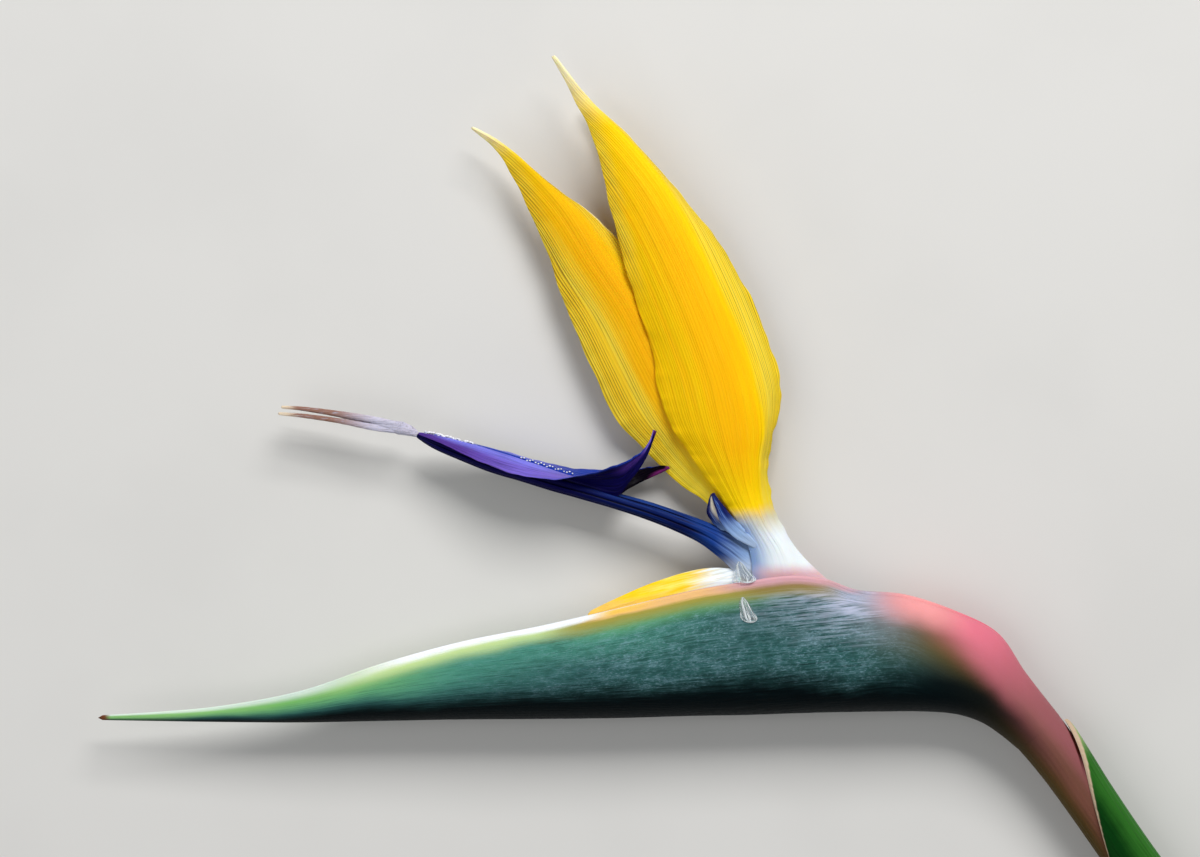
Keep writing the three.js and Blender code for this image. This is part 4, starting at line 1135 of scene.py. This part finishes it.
# [outer edge x, y, z, crest x, y, z, inner edge x, y, z], with the share across at which the crest runs
HOOD_FOLD = 0.5
hood_at = even_track(
    [-3.9, 5.0, 2.9, -3.6, 5.3, 3.0, -3.9, 5.5, 2.8],
    [-9.0, 7.6, 3.1, -6.9, 9.0, 3.3, -9.6, 8.4, 2.5],
    [-11.8, 10.6, 3.2, -9.2, 11.7, 3.1, -12.6, 9.8, 1.5],
    [-13.0, 13.6, 3.3, -11.6, 14.3, 3.0, -14.6, 12.4, 1.5],
    [-13.6, 15.6, 3.0, -12.8, 15.7, 2.8, -14.4, 14.8, 1.9],
    [-13.7, 16.6, 2.7, -13.4, 16.6, 2.6, -13.9, 16.4, 2.4],
)


def claw_shape(side):
    """Half the claw: its ridged outside over most of the columns, and back along its flat inside."""

    def shape(along, around):
        outside = 0.85
        share = np.clip(around / outside, 0, 1)
        back = np.clip((around - outside) / (1 - outside), 0, 1)
        turn = np.pi * np.where(around <= outside, share, 1 - back)
        values = claw_at(along)
        ridge = np.abs(np.cos(CLAW_RIDGES / 2 * turn))
        swell = (1.05 - 0.16 * (1 - ridge) ** 2.5 * smooth(along, 0.04, 0.26)) * rounded_ends(along, 0.012)
        knots = ripple(along, 0.045, 0.5) * smooth(along, 0.5, 0.62) * smooth(along, 1, 0.92)
        swell = swell * (1 + 0.16 * knots * smooth(turn, 0.6 * np.pi, np.pi))
        upwards = square(claw_at, np.clip(along, 0.01, 0.99), 0.01)
        up = upwards * (values[:, 3] * swell * np.cos(turn))[:, None]
        out = np.where(around <= outside, values[:, 4] * swell * np.sin(turn), 0)
        place = values[:, :3] + up + points(0.0, 0.0, side * np.maximum(out, CLEARANCE / 2))
        return place, points(ridge, along, turn / np.pi)

    return shape


def folded_shape(lines, fold, seed):
    """A blade folded along its crest. Its marks are the shares across and along, and which face it is."""
    half_rib, half_edge = sizes().petal_rib / MM / 2, sizes().petal_edge / MM / 2

    def middle(along, across):
        values = lines(along)
        wide = np.linalg.norm(values[:, 6:9] - values[:, 3:6], axis=1)
        furrow = 0.03 * np.sin(9 * across * wide) * smooth(wide, 1, 3)
        ruffle = 0.14 * ripple(along, 0.13, seed) * smooth(across, 0.75, 1) * smooth(wide, 1, 4)
        return creased(values, across, fold, 0.04) + points(0.0, ruffle, furrow)

    def half_thickness(along, across):
        return half_edge + (half_rib - half_edge) * (1 - from_crease(across, fold))

    def marks(along, across, face):
        return points(across, along, face)

    return blade(middle, half_thickness, marks)


def claw_finish(name):
    c = colours()
    skin = Finish(name, 0.4, **SOFT)
    ridge, along, turn = skin.marks
    streak = skin.noise(turn * 26, along * 9, 0.0, detail=3.0)
    pale = skin.x + (streak - 0.5) * 7
    skin.lay(c.claw_blue)
    # Lighter streaks on the claw's lower side towards its base, partly a painted highlight
    skin.lay(c.claw_mid, turn.above(0.5, 0.75) * streak.above(0.35, 0.6) * along.above(0.62, 0.4))
    skin.lay(c.claw_mid, streak.above(0.55, 0.75) * 0.5)
    skin.lay(c.indigo, along.above(0.4, 0.6))
    # Painted shade in the claw's grooves
    skin.lay(c.claw_dark, ridge.above(0.6, 0.1) * pale.above(-12, -20))
    skin.lay(c.claw_dark, streak.above(0.48, 0.3) * pale.above(-14, -24) * 0.8)
    skin.lay(c.claw_mid, pale.above(-20, -12) * streak.above(0.2, 0.5))
    skin.lay(c.claw_pale, pale.above(-13, -5))
    skin.lay(c.tissue_white, (skin.y + (streak - 0.5) * 2).above(4.6, 0.4) * 0.55)
    skin.bump(streak, 0.12)
    return skin.done()


def flange_finish(name, inside, is_far):
    """A flange with a violet or blue inner face, an indigo outer face and a coloured barb."""
    c = colours()
    skin = Finish(name, 0.38, **SOFT)
    across, along, face = skin.marks
    streak = skin.noise(across * 14, along * 6, face, detail=3.0)
    fine = skin.noise(across * 40, along * 10, face, detail=2.0)
    within = (face * inside).above(-0.2, 0.2)
    skin.lay(c.indigo)
    skin.lay(c.claw_dark, streak.above(0.55, 0.3) * 0.6)
    if is_far:
        skin.lay(c.inner_blue, within * 0.9)
        skin.lay(c.lavender, within * along.above(0.5, 0.25) * across.above(0.3, 0.8))
        skin.lay(c.indigo, within * along.above(0.54, 0.66))
        skin.lay(c.barb_dark, along.above(0.64, 0.74))
        at_tip = across.above(0.6, 0.34).math("MAXIMUM", along.above(0.95, 0.99))
        skin.lay(c.magenta, along.above(0.85, 0.94) * at_tip)
    else:
        skin.lay(c.inner_violet, within)
        skin.lay(c.inner_lilac, within * along.within(0.12, 0.34, 0.5, 0.62))
        skin.lay(c.lavender, within * along.within(0.04, 0.12, 0.36, 0.5) * across.above(0.72, 0.36) * 0.85)
        skin.lay(c.inner_blue, within * along.within(0.42, 0.55, 0.64, 0.72) * across.above(0.9, 0.5))
        skin.lay(c.indigo, within * along.above(0.62, 0.72))
        # Painted sheen along the barb's upper middle
        barb_painted_sheen = along.within(0.6, 0.72, 0.86, 0.94) * across.within(0.6, 0.8, 0.86, 0.96)
        skin.lay(c.inner_violet, barb_painted_sheen * 0.5)
        skin.lay(c.inner_lilac, along.above(0.8, 0.92) * across.above(0.68, 0.86))
        skin.lay(c.magenta, along.above(0.97, 1.0) * 0.5)
    skin.darken(0.5, fine.above(0.5, 0.35) * 0.7)
    skin.darken(0.62, streak.above(0.5, 0.36) * 0.6)
    skin.lay(c.inner_blue, across.above(0.92, 0.98) * along.within(0.3, 0.5, 0.82, 0.92) * 0.8)
    skin.bump(streak + fine * 0.6, 0.1)
    return skin.done()


class OBJECT_OT_flower_arrow(bpy.types.Operator):
    """Adds the two blue petals that make the arrow"""

    bl_idname = "object.flower_arrow"
    bl_label = "Arrow petals"

    def execute(self, context):
        for name, side, lines in (("near", 1, near_flange_at), ("far", -1, far_flange_at)):
            claw = grown(150, 160, claw_shape(side), 0)
            flange = grown(170, 120, folded_shape(lines, FLANGE_FOLD, 2 + side), 1)
            finishes = [
                claw_finish(f"claw_{name}_skin"),
                flange_finish(f"flange_{name}_skin", side, side < 0),
            ]
            add_piece(f"arrow_{name}_skin", joined(claw, flange), finishes, "petal", f"arrow_petal_{name}")
        return {"FINISHED"}


class OBJECT_OT_flower_hood(bpy.types.Operator):
    """Adds the small third petal, folded over the foot of the claw"""

    bl_idname = "object.flower_hood"
    bl_label = "Hood petal"

    def execute(self, context):
        c = colours()
        bm = grown(90, 120, folded_shape(hood_at, HOOD_FOLD, 1))
        skin = Finish("hood_petal_skin", 0.4, **SOFT)
        across, along, face = skin.marks
        streak = skin.noise(across * 16, along * 2.5, 0.0, detail=3.0)
        inner = face.above(0.2, -0.2)
        skin.lay(c.hood_blue)
        skin.lay(c.claw_dark, streak.above(0.5, 0.35) * 0.7)
        centre = across.within(0.06, 0.16, 0.26, 0.38) * along.above(0.9, 0.7)
        skin.lay(c.claw_mid, centre.math("MAXIMUM", along.above(0.62, 0.36)) * streak.above(0.25, 0.5))
        lower = centre.math("MAXIMUM", along.above(0.75, 0.5))
        skin.lay(c.hood_streak, streak.above(0.5, 0.66) * lower * 0.8)
        skin.lay(c.claw_pale, (along + (streak - 0.5) * 0.3).above(0.5, 0.2))
        skin.lay(c.tissue_white, (along + (streak - 0.5) * 0.2).above(0.28, 0.04) * 0.25)
        fold_line = across.within(0.24, 0.34, 0.52, 0.58) * along.within(0.3, 0.5, 0.9, 1.0)
        skin.lay(c.hood_blue, fold_line * 0.85)
        skin.lay(c.beak_brown, along.above(0.96, 0.99) * 0.6)
        hollow = across.within(0.56, 0.64, 0.76, 0.88) * along.within(0.4, 0.5, 0.86, 0.95)
        skin.lay(c.hood_cream, inner * hollow)
        skin.bump(streak, 0.12)
        add_piece("hood_petal_skin", bm, [skin.done()], "hood", "hood_petal")
        return {"FINISHED"}


# The style, which runs inside the claw, its three-armed stigma, and the anthers on the claw's back

STYLE_LENGTH = 84  # from the ovary to the parting of the stigma's arms
style_at = Track(
    [0, -4.0, 1.8, 0, 0.35, 0.35],
    [6, -8.6, 4.8, 0, 0.35, 0.35],
    [16, -18.0, 9.8, 0, 0.35, 0.35],
    [32, -32.6, 15.0, 0, 0.35, 0.35],
    [52, -51.6, 20.6, 0, 0.35, 0.35],
    [66, -65.0, 25.1, 0, 0.35, 0.35],
    [73, -71.8, 27.9, 0, 0.35, 0.35],
    [75.4, -73.8, 28.9, 0, 1.0, 0.9],
    [77.5, -75.6, 29.5, 0, 1.3, 1.2],
    [81, -79.0, 30.2, 0, 1.0, 1.1],
    [STYLE_LENGTH, -82.0, 30.8, 0, 0.6, 0.8],
)
stigma_arms_at = [
    even_track(*stations)
    for stations in (
        [
            [-75, 29.8, 0.5, 0.7, 0.6],
            [-81, 31.2, 0.6, 0.7, 0.6],
            [-88, 32.4, 0.6, 0.6, 0.5],
            [-95, 33.4, 0.6, 0.45, 0.4],
            [-99.8, 33.8, 0.6, 0.3, 0.3],
        ],
        [
            [-75, 29.0, 0.3, 0.7, 0.6],
            [-81, 29.7, 0.5, 0.7, 0.6],
            [-88, 31.0, 0.5, 0.55, 0.5],
            [-95, 32.0, 0.6, 0.45, 0.4],
            [-100.4, 32.5, 0.7, 0.3, 0.3],
        ],
        [
            [-75, 29.4, -0.4, 0.7, 0.6],
            [-81, 30.6, -0.8, 0.7, 0.6],
            [-88, 32.2, -1.2, 0.55, 0.5],
            [-94, 33.2, -1.5, 0.45, 0.4],
            [-98.2, 33.7, -1.7, 0.3, 0.3],
        ],
    )
]
anther_at = even_track(
    [-41.5, 20.0, 0, 0.55, 0.4],
    [-47.5, 21.8, 0, 0.6, 0.4],
    [-53.5, 23.6, 0, 0.6, 0.4],
    [-59.5, 25.4, 0, 0.55, 0.4],
    [-65.5, 27.0, 0, 0.5, 0.4],
    [-71.2, 28.6, 0, 0.4, 0.35],
)
BEAD_SHARE = 0.22  # of the pollen clumps lie in a string of beads at the anthers' lower end
CLUMP_FLATNESS = 0.8  # height of a pollen clump for its width


class OBJECT_OT_flower_stigma(bpy.types.Operator):
    """Adds the style and the three-armed stigma"""

    bl_idname = "object.flower_stigma"
    bl_label = "Style and stigma"

    def execute(self, context):
        c = colours()

        def lumpy(along, turn):
            return 1 + 0.05 * np.sin(3 * turn + 20 * along) + 0.05 * ripple(along, 0.04)

        def grooved(along, turn):
            return (1 - 0.12 * np.abs(np.cos(1.5 * turn + 0.6))) * (1 + 0.05 * ripple(along, 0.09)) + 0.04

        style = grown(220, 40, rod(style_at, 0, STYLE_LENGTH, 0.006, lumpy))
        arms = [grown(120, 40, rod(arm, 0, 1, 0.02, grooved)) for arm in stigma_arms_at]
        skin = Finish("stigma_skin", 0.55, **SOFT)
        fibre = skin.mottle(0.5, 4, 4)
        grain = skin.mottle(3, 3, 3)
        place = skin.x + (fibre - 0.5) * 5
        skin.lay(c.stigma_lilac)
        skin.darken(0.75, fibre.above(0.5, 0.35))
        skin.lay(c.stigma_tan, place.above(-80, -90) * fibre.above(0.2, 0.5))
        skin.lay(c.beak_brown, fibre.above(0.56, 0.72) * place.above(-82, -90) * 0.4)
        skin.lay(c.stigma_cream, place.above(-96, -99.5) * 0.9)
        skin.lay(c.scar_and_shadow, grain.above(0.56, 0.66) * (place + 1.4).above(-76, -74.5) * 0.3)
        skin.bump(fibre + grain * 0.5, 0.15)
        add_piece("stigma_skin", joined(style, *arms), [skin.done()], "stigma", "style_and_stigma")
        return {"FINISHED"}


def pollen_clumps():
    """A string of beads at the anthers' lower end, and looser clumps towards the arrow's point."""
    draw = np.random.default_rng(11)
    clumps = bmesh.new()
    clumps.verts.layers.float_vector.new("growth")
    clump_count = sizes().pollen_clumps
    beads = int(clump_count * BEAD_SHARE)
    for number in range(clump_count):
        if number < beads:
            share, size = 0.36 * number / beads, 0.7 * draw.uniform(0.7, 1)
            rise, out = 0.9 + 0.35 * math.sin(1.9 * number), 0.3
        else:
            share, size = draw.uniform(0.66, 1), draw.uniform(0.5, 1)
            rise, out = draw.uniform(0.7, 1.4), draw.uniform(-0.5, 0.6)
        x, y, z, height, _ = anther_at(np.array([share]))[0]
        spot = THROAT + Vector((x, y + height * rise, z + out)) * MM
        place = Matrix.Translation(spot) @ Matrix.Diagonal((1, CLUMP_FLATNESS, 1, 1))
        radius = sizes().pollen_size * size
        bmesh.ops.create_icosphere(clumps, subdivisions=2, radius=radius, matrix=place)
    return clumps


class OBJECT_OT_flower_anthers(bpy.types.Operator):
    """Adds the anthers with their clumps of white pollen"""

    bl_idname = "object.flower_anthers"
    bl_label = "Anthers"

    def execute(self, context):
        c = colours()

        def knobbly(along, turn):
            return 1 + 0.1 * ripple(along, 0.07) + 0.06 * np.sin(5 * turn)

        strip = grown(140, 28, rod(anther_at, 0, 1, 0.01, knobbly), 1)
        strand = Finish("anther_strand", 0.6, **SOFT)
        grain = strand.mottle(2, 5, 5)
        strand.lay(c.inner_blue)
        strand.lay(c.pollen, grain.above(0.4, 0.65) * strand.x.above(-58, -64) * 0.8)
        strand.bump(grain, 0.2)
        powder = Finish("pollen_powder", 0.85, **SOFT)
        dust = powder.mottle(9, 9, 9)
        powder.lay(c.pollen)
        powder.lay(c.bloom_lilac, dust.above(0.55, 0.8) * 0.6)
        powder.bump(dust, 0.12)
        finishes = [powder.done(), strand.done()]
        add_piece("anther_pollen", joined(pollen_clumps(), strip), finishes, "pollen", "anthers")
        return {"FINISHED"}


# The drop of nectar that runs from the throat down the near flank

# [left x, right x, y, thickness], over the lip and on down the flank
nectar_film_at = even_track(
    [-8.8, -7.6, 3.0, 0.15],
    [-9.0, -6.6, 1.4, 0.3],
    [-9.2, -5.0, -0.2, 0.35],
    [-8.6, -5.0, -1.3, 0.3],
)
nectar_drip_at = even_track(
    [-8.0, -7.2, -4.0, 0.12],
    [-8.3, -6.4, -5.2, 0.2],
    [-8.2, -5.7, -6.6, 0.3],
    [-8.1, -4.8, -8.0, 0.5],
    [-7.6, -4.4, -9.2, 0.45],
)
CLAW_FOOT = 2.1  # how far out the claw's foot is, on which the film ends
UNDER_LIP = -2.6  # y below which the nectar lies on the flank
SUNK = 0.08  # how far the nectar's back lies below the skin


def nectar_shape(track):
    """A drop that leaves the claw's foot and clings to the flank, thickest along its middle."""

    def shape(along, around):
        left, right, y, thickness = track(along).T
        across = 1 - np.abs(1 - 2 * around)
        ends = rounded_ends(along, 0.25)
        half = (right - left) / 2 * ends
        x = (left + right) / 2 + half * (2 * across - 1)
        dome = np.sqrt(np.clip(1 - (2 * across - 1) ** 2, 0, 1)) * ends
        z = CLAW_FOOT + (flank_at(x, np.minimum(y, UNDER_LIP)) - CLAW_FOOT) * smooth(y, 1.6, -1.4)
        z = z + np.where(around <= 0.5, thickness * dome, -SUNK)
        return points(x, y, z), points(along, across, 0.0)

    return shape


class OBJECT_OT_flower_nectar(bpy.types.Operator):
    """Adds the clear nectar that runs down from the throat"""

    bl_idname = "object.flower_nectar"
    bl_label = "Nectar"

    def execute(self, context):
        syrup = Finish("nectar_syrup", 0.15, IOR=1.12)
        along, across, _ = syrup.marks
        strand = syrup.noise(across * 13, along * 1.4, syrup.z * 0.2, detail=1.0)
        # Painted highlights: whitish strands and edges make the clear nectar partly opaque white, standing
        # in for its glints and refraction
        edge_highlight = (across - 0.5).math("ABSOLUTE").above(0.4, 0.5).math("MAXIMUM", along.above(0.86, 0.97))
        white = (strand.above(0.5, 0.64) * 0.6 + 0.08).math("MAXIMUM", edge_highlight * along.above(0.5, 0.9))
        syrup.lay(colours().tissue_white)
        plug(syrup.tree, white * -0.8 + 0.95, syrup.shader.inputs["Transmission Weight"])
        syrup.bump(strand, 0.03)
        film = grown(60, 48, nectar_shape(nectar_film_at))
        drip = grown(60, 48, nectar_shape(nectar_drip_at))
        add_piece("nectar_drop", joined(film, drip), [syrup.done()], "ovary")
        return {"FINISHED"}


# The stage, in metres

FLOOR_REACH = 3.0  # to each side
CAMERA_HEIGHT = 1.4
# [name, place from the throat, width, power]
LAMPS = (
    ("key", (0.2, 0.75, 0.75), 0.5, 11.0),
    ("fill", (-0.5, -0.2, 0.9), 0.8, 3.0),
)
ROOM_COLOUR, ROOM_LIGHT = (0.9, 0.95, 1.0, 1), 0.25


def lay_floor():
    bm = bmesh.new()
    bmesh.ops.create_grid(bm, x_segments=1, y_segments=1, size=FLOOR_REACH)
    mesh = bpy.data.meshes.new("floor")
    bm.to_mesh(mesh)
    bm.free()
    add_object("floor", mesh)
    surface = Finish("floor_surface", 0.8)
    surface.lay(colours().floor)
    surface.darken(0.97, surface.mottle(0.02, 0.02, 0).above(0.4, 0.7))
    mesh.materials.append(surface.done())


def light_room(scene):
    scene.world = bpy.data.worlds.new("studio")
    scene.world.use_nodes = True
    background = scene.world.node_tree.nodes["Background"]
    background.inputs["Color"].default_value = ROOM_COLOUR
    background.inputs["Strength"].default_value = ROOM_LIGHT
    for name, place, width, power in LAMPS:
        light = bpy.data.lights.new(name, "AREA")
        light.energy, light.size = power, width
        lamp = add_object(name, light)
        lamp.location = THROAT + Vector(place)
        lamp.rotation_euler = (-Vector(place)).to_track_quat("-Z", "Y").to_euler()


def hang_camera(scene):
    """Hangs it over the middle of the photograph's frame, which it takes in from edge to edge."""
    lens = bpy.data.cameras.new("camera")
    lens.lens = lens.sensor_width * CAMERA_HEIGHT / (PHOTO_WIDTH * PIXEL)
    lens.clip_start = 0.01
    middle_x = (PHOTO_WIDTH / 2 - THROAT_PIXEL[0]) * PIXEL
    middle_y = (THROAT_PIXEL[1] - PHOTO_HEIGHT / 2) * PIXEL
    scene.camera = add_object("camera", lens)
    scene.camera.location = THROAT + Vector((middle_x, middle_y, CAMERA_HEIGHT))


class SCENE_OT_flower_stage(bpy.types.Operator):
    """Adds the floor, the light and the camera that looks straight down on the flower"""

    bl_idname = "scene.flower_stage"
    bl_label = "Floor, light and camera"

    def execute(self, context):
        context.scene.view_settings.view_transform = "Standard"
        lay_floor()
        light_room(context.scene)
        hang_camera(context.scene)
        return {"FINISHED"}


class VIEW3D_PT_flower(bpy.types.Panel):
    """Lists the flower's operators, sizes and colours"""

    bl_idname = "VIEW3D_PT_flower"
    bl_label = "Bird of paradise flower"
    bl_space_type = "VIEW_3D"
    bl_region_type = "UI"
    bl_category = "Flower"

    def draw(self, context):
        for operator in OPERATORS:
            self.layout.operator(operator.bl_idname)
        for group in (context.scene.flower_sizes, context.scene.flower_colours):
            box = self.layout.box()
            for name in group.__annotations__:
                box.prop(group, name)


OPERATORS = (
    SCENE_OT_flower_stage,
    OBJECT_OT_flower_spathe,
    OBJECT_OT_flower_stem,
    OBJECT_OT_flower_sheath,
    OBJECT_OT_flower_bract,
    OBJECT_OT_flower_ovary,
    OBJECT_OT_flower_sepals,
    OBJECT_OT_flower_arrow,
    OBJECT_OT_flower_hood,
    OBJECT_OT_flower_stigma,
    OBJECT_OT_flower_anthers,
    OBJECT_OT_flower_nectar,
)
CLASSES = (FlowerSizes, FlowerColours, *OPERATORS, VIEW3D_PT_flower)


def register():
    for cls in CLASSES:
        bpy.utils.register_class(cls)
    bpy.types.Scene.flower_sizes = PointerProperty(type=FlowerSizes)
    bpy.types.Scene.flower_colours = PointerProperty(type=FlowerColours)


def unregister():
    del bpy.types.Scene.flower_colours
    del bpy.types.Scene.flower_sizes
    for cls in reversed(CLASSES):
        bpy.utils.unregister_class(cls)


def main():
    register()
    for operator in OPERATORS:
        group, name = operator.bl_idname.split(".")
        getattr(getattr(bpy.ops, group), name)()


if __name__ == "__main__":
    main()
